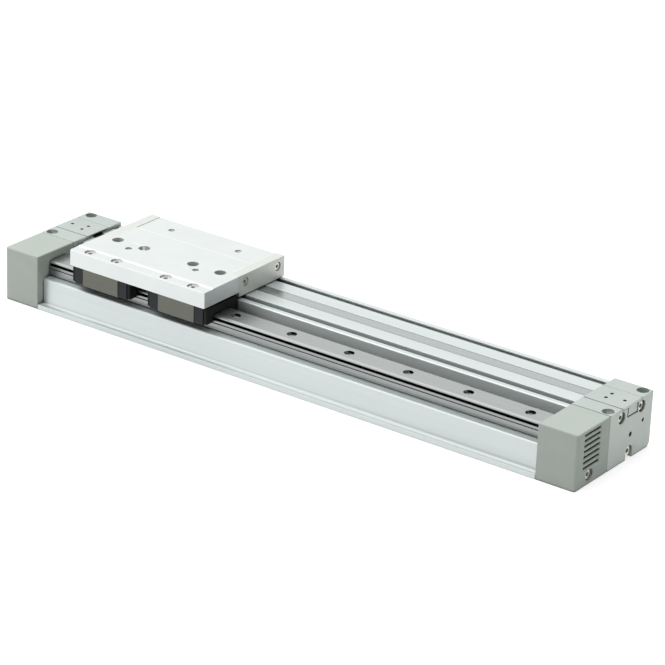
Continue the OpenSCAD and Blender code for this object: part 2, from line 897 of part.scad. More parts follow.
// ---- guide rail ----------------------------------------------------------------------

rail_end_room = 10;

function rail_screw_count() = 1 + floor((rail_len - 2 * rail_end_room) / rail_pitch);

function rail_screw_xs() = [
    for (i = [0 : rail_screw_count() - 1])
        (i - (rail_screw_count() - 1) / 2) * rail_pitch - rail_shift
];

// rail section with a ball track and a fine groove on each flank, and a relieved foot
module rail_outline() {
    bevel = 0.9;
    relief = 0.5;
    line_z = rail_h - line_drop;
    line_h = 0.4;
    line_depth = 0.3;
    track_low = rail_h - track_drop - track_h / 2;
    track_top = rail_h - track_drop + track_h / 2;
    half = rail_w / 2;
    flank = [
        [half - relief, 0],
        [half - relief, relief],
        [half, relief],
        [half, line_z],
        [half - line_depth, line_z],
        [half - line_depth, line_z + line_h],
        [half, line_z + line_h],
        [half, track_low],
        [half - track_depth, track_low],
        [half - track_depth, track_top],
        [half, track_top],
        [half, rail_h - bevel],
        [half - bevel, rail_h]
    ];
    translate([rail_y, seat_z])
        polygon(concat(flank, backwards([for (p = flank) [-p[0], p[1]]])));
}

module guide_rail() {
    color("slategray")
        difference() {
            along_x(-rail_len / 2, rail_len)
                rail_outline();
            for (x = rail_screw_xs())
                translate([x, rail_y, seat_z]) {
                    translate([0, 0, -cut])
                        cylinder(d = screw_d + hole_gap, h = rail_h + 2 * cut);
                    translate([0, 0, rail_h - rail_head_depth])
                        cylinder(d = rail_head_d, h = rail_head_depth + cut);
                }
        }
}

module rail_screws() {
    color("gray")
        for (x = rail_screw_xs())
            translate([x, rail_y, seat_z + rail_h - rail_head_depth])
                cap_screw(screw_d, head_d, head_h,
                    rail_h - rail_head_depth + main_bite - thread_end);
}

// ---- slide table ---------------------------------------------------------------------

// the eight block screws, in (x, y) from the middle of the table; row is -1 near, 1 far
function block_screw_xs() = [
    for (b = [-1, 1], s = [-1, 1]) b * block_off + s * block_pitch_x / 2
];

function block_screw_y(row) = rail_y + row * block_screw_off;

// seats of the two rows of block screws: the far row sits deeper
function block_seat_z(row) = table_top_z - (row < 0 ? near_seat : far_seat);

module table_outline() {
    side_z = table_top_z - zone_step;
    edge = 0.5;
    polygon([
        [table_near_y, table_bottom_z],
        [table_far_y, table_bottom_z],
        [table_far_y, side_z - edge],
        [table_far_y - edge, side_z],
        [zone_far_y + zone_bevel, side_z],
        [zone_far_y, table_top_z],
        [zone_near_y, table_top_z],
        [zone_near_y - zone_bevel, side_z],
        [table_near_y + edge, side_z],
        [table_near_y, side_z - edge]
    ]);
}

module slide_table() {
    half = table_len / 2;
    color("gainsboro")
        on_carriage()
            difference() {
                along_x(-half, table_len)
                    table_outline();
                for (side = [-1, 1])
                    at_end(side)
                        box([half - plate_t, plate_near_y, table_bottom_z - cut],
                            [half + cut, table_far_y + cut, table_top_z + cut]);
                box([-pocket_half - cut, bore_y - pocket_half_w, table_bottom_z - cut],
                    [pocket_half + cut, bore_y + pocket_half_w, pocket_top]);
                for (sx = [-1, 1], sy = [-1, 1])
                    translate([sx * work_pitch_x / 2, work_y + sy * work_pitch_y / 2,
                            table_top_z - work_depth])
                        cylinder(d = work_d, h = work_depth + cut);
                for (x = block_screw_xs(), row = [-1, 1])
                    translate([x, block_screw_y(row), 0]) {
                        translate([0, 0, table_bottom_z - cut])
                            cylinder(d = screw_d + hole_gap, h = table_t + 2 * cut);
                        translate([0, 0, block_seat_z(row)])
                            cylinder(d = table_bore_d, h = table_top_z - block_seat_z(row) + cut);
                    }
                for (side = [-1, 1], sy = [-1, 1])
                    at_end(side)
                        rod_x(half - plate_t - plate_bite, bore_y + sy * plate_screw_off,
                            plate_screw_z, plate_screw_d + 2 * fit, plate_bite + cut);
            }
}

// the plate's lower near corner is notched so that it clears the guide block
module end_plate(side) {
    half = table_len / 2;
    notch_y = rail_y + block_w / 2 + block_gap;
    color("silver")
        on_carriage()
            at_end(side)
                difference() {
                    along_x(half - plate_t, plate_t)
                        polygon([
                            [plate_near_y, table_bottom_z + fit],
                            [notch_y, table_bottom_z + fit],
                            [notch_y, plate_bottom_z],
                            [table_far_y, plate_bottom_z],
                            [table_far_y, table_top_z],
                            [plate_near_y, table_top_z]
                        ]);
                    for (sy = [-1, 1]) {
                        rod_x(half - plate_t - cut, bore_y + sy * plate_screw_off, plate_screw_z,
                            plate_screw_d + hole_gap, plate_t + 2 * cut);
                        rod_x(half - plate_head_depth, bore_y + sy * plate_screw_off,
                            plate_screw_z, plate_head_d + 2 * head_gap, plate_head_depth + cut);
                    }
                }
}

module end_plate_left() { end_plate(-1); }

module end_plate_right() { end_plate(1); }

module end_plate_screws() {
    color("gray")
        on_carriage()
            for (side = [-1, 1], sy = [-1, 1])
                at_end(side)
                    cap_screw_x(table_len / 2 - plate_head_depth, bore_y + sy * plate_screw_off,
                        plate_screw_z, plate_screw_d, plate_head_d, plate_screw_d,
                        plate_t - plate_head_depth + plate_bite - thread_end);
}

// ---- guide blocks --------------------------------------------------------------------

// block section over the rail, with a lip that runs in each ball track
module block_outline(top_drop, side_drop, low_raise) {
    half = block_w / 2 - side_drop;
    inner = rail_w / 2 + slide;
    roof = seat_z + rail_h + slide;
    track = seat_z + rail_h - track_drop;
    lip_half = track_h / 2 - slide;
    lip_in = rail_w / 2 - track_depth + slide;
    low = block_bottom_z + low_raise;
    top = table_bottom_z - top_drop;
    bevel = 0.8;
    outer = [
        [half - bevel, low],
        [half, low + bevel],
        [half, top]
    ];
    inside = [
        [inner, roof],
        [inner, track + lip_half],
        [lip_in, track + lip_half],
        [lip_in, track - lip_half],
        [inner, track - lip_half],
        [inner, low]
    ];
    flank = concat(inside, outer);
    translate([rail_y, 0])
        polygon(concat(flank, backwards([for (p = flank) [-p[0], p[1]]])));
}

// the steel body of one block, tapped for its four screws
module guide_block(side) {
    color("dimgray")
        on_carriage()
            difference() {
                along_x(side * block_off - steel_len / 2, steel_len)
                    block_outline(0, 0, 0);
                for (sx = [-1, 1], row = [-1, 1])
                    translate([side * block_off + sx * block_pitch_x / 2, block_screw_y(row),
                            table_bottom_z - main_bite])
                        cylinder(d = screw_d + 2 * fit, h = main_bite + cut);
            }
}

module guide_block_left() { guide_block(-1); }

module guide_block_right() { guide_block(1); }

// the four block ends, counted from the left: [block side, end side]
block_ends = [[-1, -1], [-1, 1], [1, -1], [1, 1]];

// a plastic end cap on a block's end
module block_cap(i) {
    b = block_ends[i - 1][0];
    e = block_ends[i - 1][1];
    start = steel_len / 2;
    color("darkslategray")
        on_carriage()
            translate([b * block_off, 0, 0])
                at_end(e)
                    along_x(start, cap_len)
                        block_outline(cap_drop, 0.4, 0.3);
}

// the wiping seal on the outside of an end cap
module block_seal(i) {
    b = block_ends[i - 1][0];
    e = block_ends[i - 1][1];
    start = steel_len / 2 + cap_len;
    color("black")
        on_carriage()
            translate([b * block_off, 0, 0])
                at_end(e)
                    along_x(start, end_seal_t)
                        block_outline(cap_drop + 0.5, 1, 0.8);
}

module block_cap_1() { block_cap(1); }

module block_cap_2() { block_cap(2); }

module block_cap_3() { block_cap(3); }

module block_cap_4() { block_cap(4); }

module block_seal_1() { block_seal(1); }

module block_seal_2() { block_seal(2); }

module block_seal_3() { block_seal(3); }

module block_seal_4() { block_seal(4); }

module block_screw_row(row) {
    color("gray")
        on_carriage()
            for (x = block_screw_xs())
                translate([x, block_screw_y(row), block_seat_z(row)])
                    cap_screw(screw_d, head_d, head_h,
                        block_seat_z(row) - table_bottom_z + main_bite - thread_end);
}

module block_screws_near() { block_screw_row(-1); }

module block_screws_far() { block_screw_row(1); }

// ---- piston, yoke and belt guides ----------------------------------------------------

// the neck passes through the slot; the dust band runs over it and the seal belt under it
module piston_yoke() {
    neck_half_w = slot_w / 2 - neck_gap;
    color("lightgray")
        on_carriage()
            difference() {
                union() {
                    rod_x(-yoke_half, bore_y, bore_z, 2 * yoke_r, 2 * yoke_half);
                    rod_x(-yoke_half - spigot_pin_len, bore_y, bore_z,
                        2 * spigot_pin_r, 2 * (yoke_half + spigot_pin_len));
                    box([-neck_half, bore_y - neck_half_w, bore_z],
                        [neck_half, bore_y + neck_half_w, plate_bottom_z + cut]);
                    box([-saddle_half, bore_y - saddle_half_w, plate_bottom_z],
                        [saddle_half, bore_y + saddle_half_w, pocket_top]);
                }
                across_y(bore_y, channel_half_w)
                    strip(band_path(-body_half, body_half), belt_gap, 2 * band_lift);
                across_y(bore_y, tunnel_half_w)
                    intersection() {
                        strip(belt_path(-2 * yoke_half, 2 * yoke_half), belt_gap,
                            belt_t + belt_gap);
                        translate([-neck_half - cut, 0])
                            square([2 * (neck_half + cut), table_top_z]);
                    }
                for (side = [-1, 1])
                    at_end(side)
                        across_y(bore_y, tunnel_half_w)
                            intersection() {
                                strip(belt_path(-2 * yoke_half, 2 * yoke_half), belt_gap, bore_d);
                                translate([neck_half, 0])
                                    square([yoke_half - neck_half + cut, tube_h]);
                            }
            }
}

// a plough that fills the table's pocket from the saddle to the end plate and guides the
// dust band down to the tube
module belt_separator(side) {
    color("white")
        on_carriage()
            at_end(side)
                difference() {
                    box([saddle_half, bore_y - saddle_half_w, plate_bottom_z],
                        [pocket_half, bore_y + saddle_half_w, pocket_top]);
                    across_y(bore_y, channel_half_w)
                        strip(band_path(-body_half, body_half), belt_gap, band_t + belt_gap);
                }
}

module belt_separator_left() { belt_separator(-1); }

module belt_separator_right() { belt_separator(1); }

module piston(side) {
    cushion_bore = cushion_d + 2 * cushion_room;
    seal_x = piston_reach - seal_in;
    wear_x = piston_reach - wear_in;
    color("burlywood")
        on_carriage()
            at_end(side)
                translate([0, bore_y, bore_z])
                    rotate([0, 90, 0])
                        rotate_extrude($fn = 96)
                            polygon([
                                [0, yoke_half + spigot_pin_len],
                                [spigot_pin_r, yoke_half + spigot_pin_len],
                                [spigot_pin_r, yoke_half],
                                [piston_r, yoke_half],
                                [piston_r, wear_x - wear_w],
                                [wear_core_r, wear_x - wear_w],
                                [wear_core_r, wear_x],
                                [piston_r, wear_x],
                                [piston_r, seal_x - seal_w],
                                [seal_core_r, seal_x - seal_w],
                                [seal_core_r, seal_x],
                                [piston_r, seal_x],
                                [piston_r, piston_reach - 1],
                                [piston_r - 1, piston_reach],
                                [cushion_bore / 2, piston_reach],
                                [cushion_bore / 2, piston_reach - cushion_len - 2],
                                [0, piston_reach - cushion_len - 2]
                            ]);
}

module piston_left() { piston(-1); }

module piston_right() { piston(1); }

// a ring in one of the piston's grooves: its inner face, its width and its distance from
// the piston's end
module piston_ring(side, core_r, w, inset, lip) {
    x = piston_reach - inset;
    on_carriage()
        at_end(side)
            translate([0, bore_y, bore_z])
                rotate([0, 90, 0])
                    rotate_extrude($fn = 96)
                        polygon([
                            [core_r, x - w],
                            [ring_r - lip, x - w],
                            [ring_r, x - w + 2 * lip],
                            [ring_r, x],
                            [core_r, x]
                        ]);
}

module piston_seal_left() { color("black") piston_ring(-1, seal_core_r, seal_w, seal_in, 0.5); }

module piston_seal_right() { color("black") piston_ring(1, seal_core_r, seal_w, seal_in, 0.5); }

module wear_ring_left() { color("tan") piston_ring(-1, wear_core_r, wear_w, wear_in, 0.2); }

module wear_ring_right() { color("tan") piston_ring(1, wear_core_r, wear_w, wear_in, 0.2); }

// ---- assembly ------------------------------------------------------------------------

cylinder_tube();
head_cover_left();
head_cover_right();
rail_cover_left();
rail_cover_right();
cover_screws();
rail_cover_screws();
belt_clamp_left();
belt_clamp_right();
clamp_screws();
dust_band();
seal_belt();
tube_gasket_left();
tube_gasket_right();
cushion_ring_left();
cushion_ring_right();
port_plugs();
cushion_needle_left();
cushion_needle_right();
guide_rail();
rail_screws();
slide_table();
end_plate_left();
end_plate_right();
end_plate_screws();
guide_block_left();
guide_block_right();
block_cap_1();
block_cap_2();
block_cap_3();
block_cap_4();
block_seal_1();
block_seal_2();
block_seal_3();
block_seal_4();
block_screws_near();
block_screws_far();
piston_yoke();
piston_left();
piston_right();
piston_seal_left();
piston_seal_right();
wear_ring_left();
wear_ring_right();
belt_separator_left();
belt_separator_right();
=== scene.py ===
"""Looks for a rodless air cylinder with a guided slide table, laid out as a Blender add-on."""
import json
import math

import bmesh
import bpy
import numpy as np
from bpy.props import FloatProperty, FloatVectorProperty, IntProperty, PointerProperty
from bpy.types import Operator, Panel, PropertyGroup
from mathutils import Matrix, Vector

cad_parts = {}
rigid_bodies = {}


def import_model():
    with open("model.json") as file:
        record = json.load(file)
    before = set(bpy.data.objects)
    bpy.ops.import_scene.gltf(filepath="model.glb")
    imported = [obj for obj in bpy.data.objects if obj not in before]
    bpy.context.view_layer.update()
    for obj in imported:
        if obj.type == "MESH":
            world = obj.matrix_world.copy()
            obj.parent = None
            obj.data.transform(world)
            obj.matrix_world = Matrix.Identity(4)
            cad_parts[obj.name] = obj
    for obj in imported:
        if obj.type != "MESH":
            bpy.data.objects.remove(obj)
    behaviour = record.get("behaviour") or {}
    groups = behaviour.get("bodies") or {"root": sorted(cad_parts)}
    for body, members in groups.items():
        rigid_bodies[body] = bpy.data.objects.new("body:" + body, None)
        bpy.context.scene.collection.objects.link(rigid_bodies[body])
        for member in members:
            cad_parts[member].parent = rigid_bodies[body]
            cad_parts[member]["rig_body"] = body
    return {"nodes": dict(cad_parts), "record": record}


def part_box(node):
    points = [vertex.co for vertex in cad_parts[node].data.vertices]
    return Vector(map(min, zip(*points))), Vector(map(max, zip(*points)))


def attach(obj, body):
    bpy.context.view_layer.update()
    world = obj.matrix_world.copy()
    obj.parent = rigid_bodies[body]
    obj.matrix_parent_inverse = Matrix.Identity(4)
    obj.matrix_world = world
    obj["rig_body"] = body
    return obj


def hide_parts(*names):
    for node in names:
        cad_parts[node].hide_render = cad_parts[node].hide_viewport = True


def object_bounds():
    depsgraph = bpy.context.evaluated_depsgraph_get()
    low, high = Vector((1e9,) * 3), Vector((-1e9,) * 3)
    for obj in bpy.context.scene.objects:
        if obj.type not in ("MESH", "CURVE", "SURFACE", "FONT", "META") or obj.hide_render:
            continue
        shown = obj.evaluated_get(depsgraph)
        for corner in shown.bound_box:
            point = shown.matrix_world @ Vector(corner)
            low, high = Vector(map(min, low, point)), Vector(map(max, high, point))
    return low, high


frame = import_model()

bl_info = {
    "name": "Rodless Cylinder Looks",
    "version": (1, 0, 0),
    "blender": (4, 5, 0),
    "location": "3D View > Sidebar > Cylinder",
    "description": "Finishes and edges for a rodless air cylinder with a guided slide table",
    "category": "Object",
}

CAD_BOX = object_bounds()
MM = 0.001

# rays that look for near walls, per sample of the painted shade in recesses
RECESS_SHADE_SAMPLES = 8
# how far either side of the wall with the painted highlight counts as part of it, in mm
LIT_WALL_MARGIN = 0.3
# how much narrower the milling marks are than long
MARK_SQUEEZE = 0.02
# shares of open sky under the carriage: no shade above the first, full shade below the second
SHADE_CLEAR = 0.3
SHADE_FULL = 0.08

# folds between two faces: a corner has at least the first, and the facets of a round have
# between the other two
CORNER_FOLD = math.radians(35)
ROUND_FOLDS = (math.radians(1), math.radians(34))
# a face has room for a round if it is this many widths deep, or has this area in m2
ROOM_IN_WIDTHS = 2.4
ROOMY_AREA = 1e-4

# shells: how near points are welded, and the folds that are flat and sharp
WELD = 1e-6
FLAT_FOLD = math.radians(0.3)
SHARP_FOLD = math.radians(30)
STRIP_SHARP_FOLD = math.radians(50)

# grids: points round a thread and round the strip, rows per turn of a thread, rows along the
# straight band and its arch, and points along the floor's side
THREAD_POINTS = 24
STRIP_POINTS = 32
ROWS_PER_TURN = 8
STRAIGHT_ROWS = 50
ARCH_ROWS = 85
FLOOR_POINTS = 9

# threads: how deep the thread of the work holes starts and how long it is, how deep that of
# the ports starts, how much shorter than the port it is, and how far a lining stands in
# from the hole's wall
WORK_THREAD_START = 1.0 * MM
WORK_THREAD = 3.6 * MM
PORT_THREAD_START = 0.6 * MM
PORT_THREAD_SHORTER = 1 * MM
LINING_GAP = 0.02 * MM

# dust band: half its thickness, and how far from the table's middle its arch starts to
# sink and ends
BAND_HALF_T = 0.2 * MM
ARCH_TOP_END = 26 * MM
ARCH_END = 42 * MM

# lights: how fast the tent darkens down from its top, where the key light shines and how
# broad it looks, and the place, width and beam of the fill panel
DOME_POWER = 1.5
KEY_WAY = (0.3, 0.12, -1.0)
KEY_ANGLE = math.radians(60)
FILL_PLACE = (-0.45, -0.6, 0.3)
FILL_SIZE = 0.3
FILL_SPREAD = math.radians(50)

# nearest and farthest that the camera sees, in m
CAMERA_CLIPS = (0.05, 50)

# the CAD nodes by the finish that they carry
TUBE_NODES = ["cylinder_tube"]
HEAD_NODES = ["head_cover_left", "head_cover_right"]
CLAMP_NODES = ["belt_clamp_left", "belt_clamp_right"]
RAIL_COVER_NODES = ["rail_cover_left", "rail_cover_right"]
RAIL_NODES = ["guide_rail"]
BLOCK_NODES = ["guide_block_left", "guide_block_right"]
CAP_NODES = ["block_cap_1", "block_cap_2", "block_cap_3", "block_cap_4"]
WIPER_NODES = ["block_seal_1", "block_seal_2", "block_seal_3", "block_seal_4"]
TABLE_NODES = ["slide_table"]
PLATE_NODES = ["end_plate_left", "end_plate_right"]
BRIGHT_NODES = ["cover_screws", "rail_cover_screws"]
ZINC_NODES = ["rail_screws", "block_screws_near", "end_plate_screws"]
DARK_NODES = ["block_screws_far", "clamp_screws", "port_plugs", "cushion_needle_left",
              "cushion_needle_right"]
GASKET_NODES = ["tube_gasket_left", "tube_gasket_right", "piston_seal_left", "piston_seal_right"]
BRASS_NODES = ["cushion_ring_left", "cushion_ring_right"]
PISTON_NODES = ["piston_left", "piston_right", "belt_separator_left", "belt_separator_right"]
BELT_NODES = ["seal_belt", "wear_ring_left", "wear_ring_right"]


def linear(hex_colour):
    """Linear RGB of an sRGB hex colour: each channel c becomes c / 12.92 below 0.04045 and
    ((c + 0.055) / 1.055) ** 2.4 above it."""
    c = np.array([int(hex_colour[i:i + 2], 16) / 255 for i in (1, 3, 5)])
    return tuple(np.where(c <= 0.04045, c / 12.92, ((c + 0.055) / 1.055) ** 2.4))


# ---- properties ----------------------------------------------------------------------


def colour(name, description, hex_colour):
    """A colour setting, given as sRGB hex and kept as linear RGB."""
    return FloatVectorProperty(name=name, description=description, default=linear(hex_colour),
                               size=3, min=0, max=1, subtype="COLOR")


def length(name, description, millimetres):
    """A length setting, given in mm and kept in metres."""
    return FloatProperty(name=name, description=description, default=millimetres * MM,
                         min=0, unit="LENGTH", subtype="DISTANCE", precision=5)


class CylinderFinish(PropertyGroup):
    """Colours of the finishes and of the painted shade and highlights, and the sizes of their
    grain.
    """

    tube_colour: colour("Tube", "Clear anodised extrusion", "#D4DCDB")
    table_colour: colour("Table", "Clear anodised milled table", "#E0E5E4")
    plate_colour: colour("End plates", "Clear anodised end plates and yoke", "#D7DAD4")
    cover_colour: colour("Head covers", "Paint on the cast head covers", "#BAC3BE")
    nylon_colour: colour("Rail covers", "Moulded rail covers", "#AEB7AF")
    rail_colour: colour("Guide rail", "Hardened and ground rail", "#B4B8B7")
    # painted shade: the rail's upright faces are painted darker than its top
    flank_shade_colour: colour("Rail flanks", "Upright faces of the rail", "#999D9C")
    block_colour: colour("Guide blocks", "Hardened and ground blocks", "#65665F")
    band_colour: colour("Dust band", "Cold-rolled stainless strip", "#BAC1C0")
    screw_colour: colour("Bright screws", "Nickel-plated screws", "#F2F0E2")
    zinc_colour: colour("Zinc screws", "Zinc-plated screws", "#E8E8E4")
    dark_colour: colour("Dark screws", "Blackened screws, plugs and needles", "#3C3F3E")
    cap_colour: colour("Block caps", "Black acetal", "#1F2426")
    rubber_colour: colour("Seals", "Nitrile rubber", "#1A1B1C")
    belt_colour: colour("Seal belt", "Polyurethane", "#B59A6B")
    piston_colour: colour("Piston", "Natural acetal", "#E4DDCB")
    brass_colour: colour("Brass", "Turned brass", "#C9A45A")
    die_line: length("Die line", "Spacing of the extrusion's lengthwise lines", 0.5)
    mill_line: length("Mill line", "Spacing of the milling marks", 0.6)
    peel: length("Paint peel", "Size of the ripple in the cover paint", 1.2)
    spark: length("Spark texture", "Grain of the moulded covers", 0.6)
    # painted highlight: chamfers and rounds of the table, plates and yoke are painted near white
    chamfer_highlight_colour: colour("Chamfers", "Freshly cut chamfers of the table", "#FBFCFB")
    # painted highlight: the wall beside the guide blocks, this far off centre, is painted near
    # white
    lit_wall_offset: length("Planed wall", "How far the wall by the blocks is off centre", 4.4)
    wall_highlight_colour: colour("Planed", "That wall, bright from the planer", "#F5FCFA")
    # painted shade in the tube's grooves and recesses
    groove_shade: colour("Groove film", "Dust in the tube's grooves", "#585A58")
    # painted shade in the counterbores and holes of the table, plates and yoke
    hole_shade: colour("Hole film", "Oil in the table's counterbores", "#8A8B89")
    # painted shade in the covers' seams and where other pieces stand near
    seam_shade: colour("Seam film", "Dust in the seams of the covers", "#4A4D49")
    # painted shade, near black, in the ball tracks, the screw sockets and under the carriage
    deep_shade: colour("Track film", "Grease in tracks and sockets, and shade", "#050505")
    # reach of the painted shade in recesses
    recess_reach: length("Film reach", "How near the walls of a recess stand to hold a film", 2.5)
    shade_reach: length("Shade reach", "How high the carriage may stand to shade what is below",
                        25)
    # reach of the painted shade in the screw sockets
    socket_reach: length("Socket reach", "How near walls stand to hold oil in a socket", 1.0)


class CylinderEdges(PropertyGroup):
    """Rounding of the edges."""

    extruded_edge: length("Extrusion edge", "Radius on the tube's edges", 0.25)
    cast_edge: length("Casting edge", "Radius on the head covers' edges", 0.5)
    shortest_cast: length("Shortest", "Shortest edge of a head cover or clamp to be rounded",
                          9)
    moulded_edge: length("Moulding edge", "Radius on the rail covers' edges", 0.6)
    milled_edge: length("Milled edge", "Broken edge of the table and its plates", 0.3)
    ground_edge: length("Ground edge", "Edges of the rail, the blocks and the clamps", 0.2)
    thread_pitch: length("Thread pitch", "Pitch of the threads in work holes and ports", 0.7)
    thread_depth: length("Thread depth", "Height of those threads", 0.3)
    bevel_segments: IntProperty(name="Bevel segments", description="Facets across an edge",
                                default=2, min=1, max=4)


class CylinderStage(PropertyGroup):
    """Camera, light and floor."""

    camera_place: FloatVectorProperty(name="Camera", description="Place of the camera",
                                      default=(0.93124, -1.29648, 0.71277), subtype="XYZ",
                                      unit="LENGTH")
    camera_look: FloatVectorProperty(name="Look", description="Direction that the camera faces",
                                     default=(-0.53078, 0.74895, -0.39667), subtype="XYZ")
    camera_right: FloatVectorProperty(name="Right", description="Direction of the view's right",
                                      default=(0.80581, 0.59098, 0.03758), subtype="XYZ")
    camera_lens: FloatProperty(name="Lens", description="Focal length in mm on a 36 mm sensor",
                               default=165.65, min=10)
    key_strength: FloatProperty(name="Key light", description="Strength of the soft key light",
                                default=0.5, min=0)
    fill_strength: FloatProperty(name="Fill panel", description="Power of the panel on the left",
                                 default=0.06, min=0)
    sky_strength: FloatProperty(name="Overhead light", description="Strength of the tent's top",
                                default=1.85, min=0)
    sky_lean: FloatProperty(name="Lean", description="How far the light leans to the left",
                            default=0.9, min=0, max=1)
    even_strength: FloatProperty(name="Even light", description="Light from every side",
                                 default=0.1, min=0)
    flag: FloatProperty(name="Flag", description="How much dimmer gloss sees the right side",
                        default=0.38, min=0, max=1)
    bounce_fade: FloatProperty(name="Bounce fade", description="Light left after two bounces",
                               default=0.4, min=0, max=1)
    floor_size: FloatProperty(name="Floor", description="Width of the floor", default=14,
                              min=1, unit="LENGTH")
    floor_colour: colour("Floor colour", "Matt paper floor", "#BEBEBE")
    floor_glow: FloatProperty(name="Floor glow", description="What whitens the floor in view",
                              default=0.62, min=0, max=1)


# ---- materials -----------------------------------------------------------------------


def add_node(tree, kind, settings=None, **feeds):
    """Adds a node. settings are its own options or the values of its inputs. Each feed names
    an input, with spaces as underscores, or counts it, as in0, and gives it a socket or a
    value."""
    made = tree.nodes.new(kind)
    for name, value in (settings or {}).items():
        if hasattr(made, name):
            setattr(made, name, value)
        else:
            made.inputs[name].default_value = value
    for name, source in feeds.items():
        key = int(name[2:]) if name.startswith("in") else name.replace("_", " ")
        if isinstance(source, bpy.types.NodeSocket):
            tree.links.new(source, made.inputs[key])
        else:
            made.inputs[key].default_value = source
    return made


def new_material(name, base, metallic, roughness, specular=0.5):
    """A material with one Principled shader; returns it with its tree, its shader and the
    Object coordinates turned to millimetres."""
    made = bpy.data.materials.new(name)
    made.use_nodes = True
    tree = made.node_tree
    shader = tree.nodes["Principled BSDF"]
    shader.inputs["Base Color"].default_value = (*base, 1)
    shader.inputs["Metallic"].default_value = metallic
    shader.inputs["Roughness"].default_value = roughness
    shader.inputs["Specular IOR Level"].default_value = specular
    place = add_node(tree, "ShaderNodeTexCoord")
    in_mm = add_node(tree, "ShaderNodeVectorMath",
                     {"operation": "SCALE", "Scale": 1 / MM}, Vector=place.outputs["Object"])
    return made, tree, shader, in_mm.outputs[0]


def stretched(tree, in_mm, scale):
    """The coordinates in mm, squeezed per axis: 1 / scale is the pattern's size in mm."""
    return add_node(tree, "ShaderNodeMapping", {"Scale": scale}, Vector=in_mm).outputs[0]


def grain(tree, where, detail=3.0, rough=0.55):
    """Value noise, one cell per unit of the coordinates."""
    return add_node(tree, "ShaderNodeTexNoise",
                    {"Scale": 1.0, "Detail": detail, "Roughness": rough},
                    Vector=where).outputs["Fac"]


def spread(tree, value, low, high, from_low=0.3, from_high=0.7):
    """Maps a value that goes from from_low to from_high to the range from low to high, and
    holds it there beyond."""
    return add_node(tree, "ShaderNodeMapRange",
                    {"From Min": from_low, "From Max": from_high, "To Min": low, "To Max": high},
                    Value=value).outputs[0]


def tinted(tree, base, value, low, high):
    """The base colour times low to high, as the noise value goes from dark to light."""
    factor = spread(tree, value, low, high)
    return add_node(tree, "ShaderNodeVectorMath", {"operation": "SCALE", "Vector": base},
                    Scale=factor).outputs[0]


def mixed(tree, share, first, second):
    """The first colour where the share is 0 and the second where it is 1."""
    a, b = (value if isinstance(value, bpy.types.NodeSocket) else (*value, 1)
            for value in (first, second))
    return add_node(tree, "ShaderNodeMix", {"data_type": "RGBA"}, in0=share, in6=a,
                    in7=b).outputs[2]


def recess_shaded(tree, surface, shade_colour, reach, clean=0.85, full=0.35, own_walls=True):
    """The surface's colour, with painted shade where walls stand near. The share of open sky
    within reach (metres) goes from full, all shade, to clean, no shade. It counts the
    piece's own walls alone unless own_walls is false."""
    near = add_node(tree, "ShaderNodeAmbientOcclusion",
                    {"samples": RECESS_SHADE_SAMPLES, "only_local": own_walls, "Distance": reach})
    return mixed(tree, spread(tree, near.outputs["AO"], 0.0, 1.0, full, clean), shade_colour,
                 surface)


def shaded(tree, surface, finish):
    """The surface's colour, with painted shade where the carriage stands low over it and takes
    away most of the open sky."""
    return recess_shaded(tree, surface, finish.deep_shade, finish.shade_reach, SHADE_CLEAR,
                  SHADE_FULL, own_walls=False)


def bumped(tree, shader, height, distance):
    """Bump from a height value; distance is the depth in metres."""
    bump = add_node(tree, "ShaderNodeBump", {"Strength": 1.0, "Distance": distance},
                    Height=height)
    tree.links.new(bump.outputs[0], shader.inputs["Normal"])


def anodised_extrusion(finish):
    """Aluminium 6063 pressed through a die and clear anodised: silver, satin, with faint
    bright and dull lines that all run along the pressing direction. The wall beside the
    guide blocks is painted near white, a painted highlight. Its grooves get painted shade,
    and so does its top under the carriage."""
    made, tree, shader, in_mm = new_material("anodised_extrusion", finish.tube_colour,
                                             metallic=0.55, roughness=0.34)
    scale = MM / finish.die_line
    lines = grain(tree, stretched(tree, in_mm, (0.004, scale, scale)), detail=4.0, rough=0.7)
    broad = grain(tree, stretched(tree, in_mm, (0.006, 0.25, 0.25)), detail=2.0)
    metal = tinted(tree, finish.tube_colour, broad, 0.96, 1.0)
    across = add_node(tree, "ShaderNodeSeparateXYZ", Vector=in_mm).outputs["Y"]
    # painted highlight: the wall beside the guide blocks is painted near white
    lit_wall = add_node(tree, "ShaderNodeMath", {"operation": "COMPARE"}, in0=across,
                      in1=-finish.lit_wall_offset / MM, in2=LIT_WALL_MARGIN).outputs[0]
    metal = mixed(tree, lit_wall, metal, finish.wall_highlight_colour)
    # painted shade in the tube's grooves and recesses
    with_recess_shade = recess_shaded(tree, metal, finish.groove_shade, finish.recess_reach, clean=0.9, full=0.15)
    # painted shade under the carriage
    tree.links.new(shaded(tree, with_recess_shade, finish), shader.inputs["Base Color"])
    tree.links.new(spread(tree, lines, 0.28, 0.42), shader.inputs["Roughness"])
    bumped(tree, shader, lines, 0.002 * MM)
    return made


def upwardness(tree):
    """The z of the surface's normal: 1 on level tops and 0 on upright faces."""
    normal = add_node(tree, "ShaderNodeTexCoord").outputs["Normal"]
    return add_node(tree, "ShaderNodeSeparateXYZ", Vector=normal).outputs["Z"]


def chamfer_highlight_share(tree):
    """Where the painted highlight goes: 1 on the shallow slopes and rounds that lead to a level
    face, where the normal's z is between 0.9 and 0.985, and 0 on level and upright faces."""
    upward = upwardness(tree)
    not_steep = spread(tree, upward, 0.0, 1.0, from_low=0.8, from_high=0.9)
    not_level = spread(tree, upward, 1.0, 0.0, from_low=0.985, from_high=0.997)
    return add_node(tree, "ShaderNodeMath", {"operation": "MULTIPLY"}, in0=not_steep,
                    in1=not_level).outputs[0]


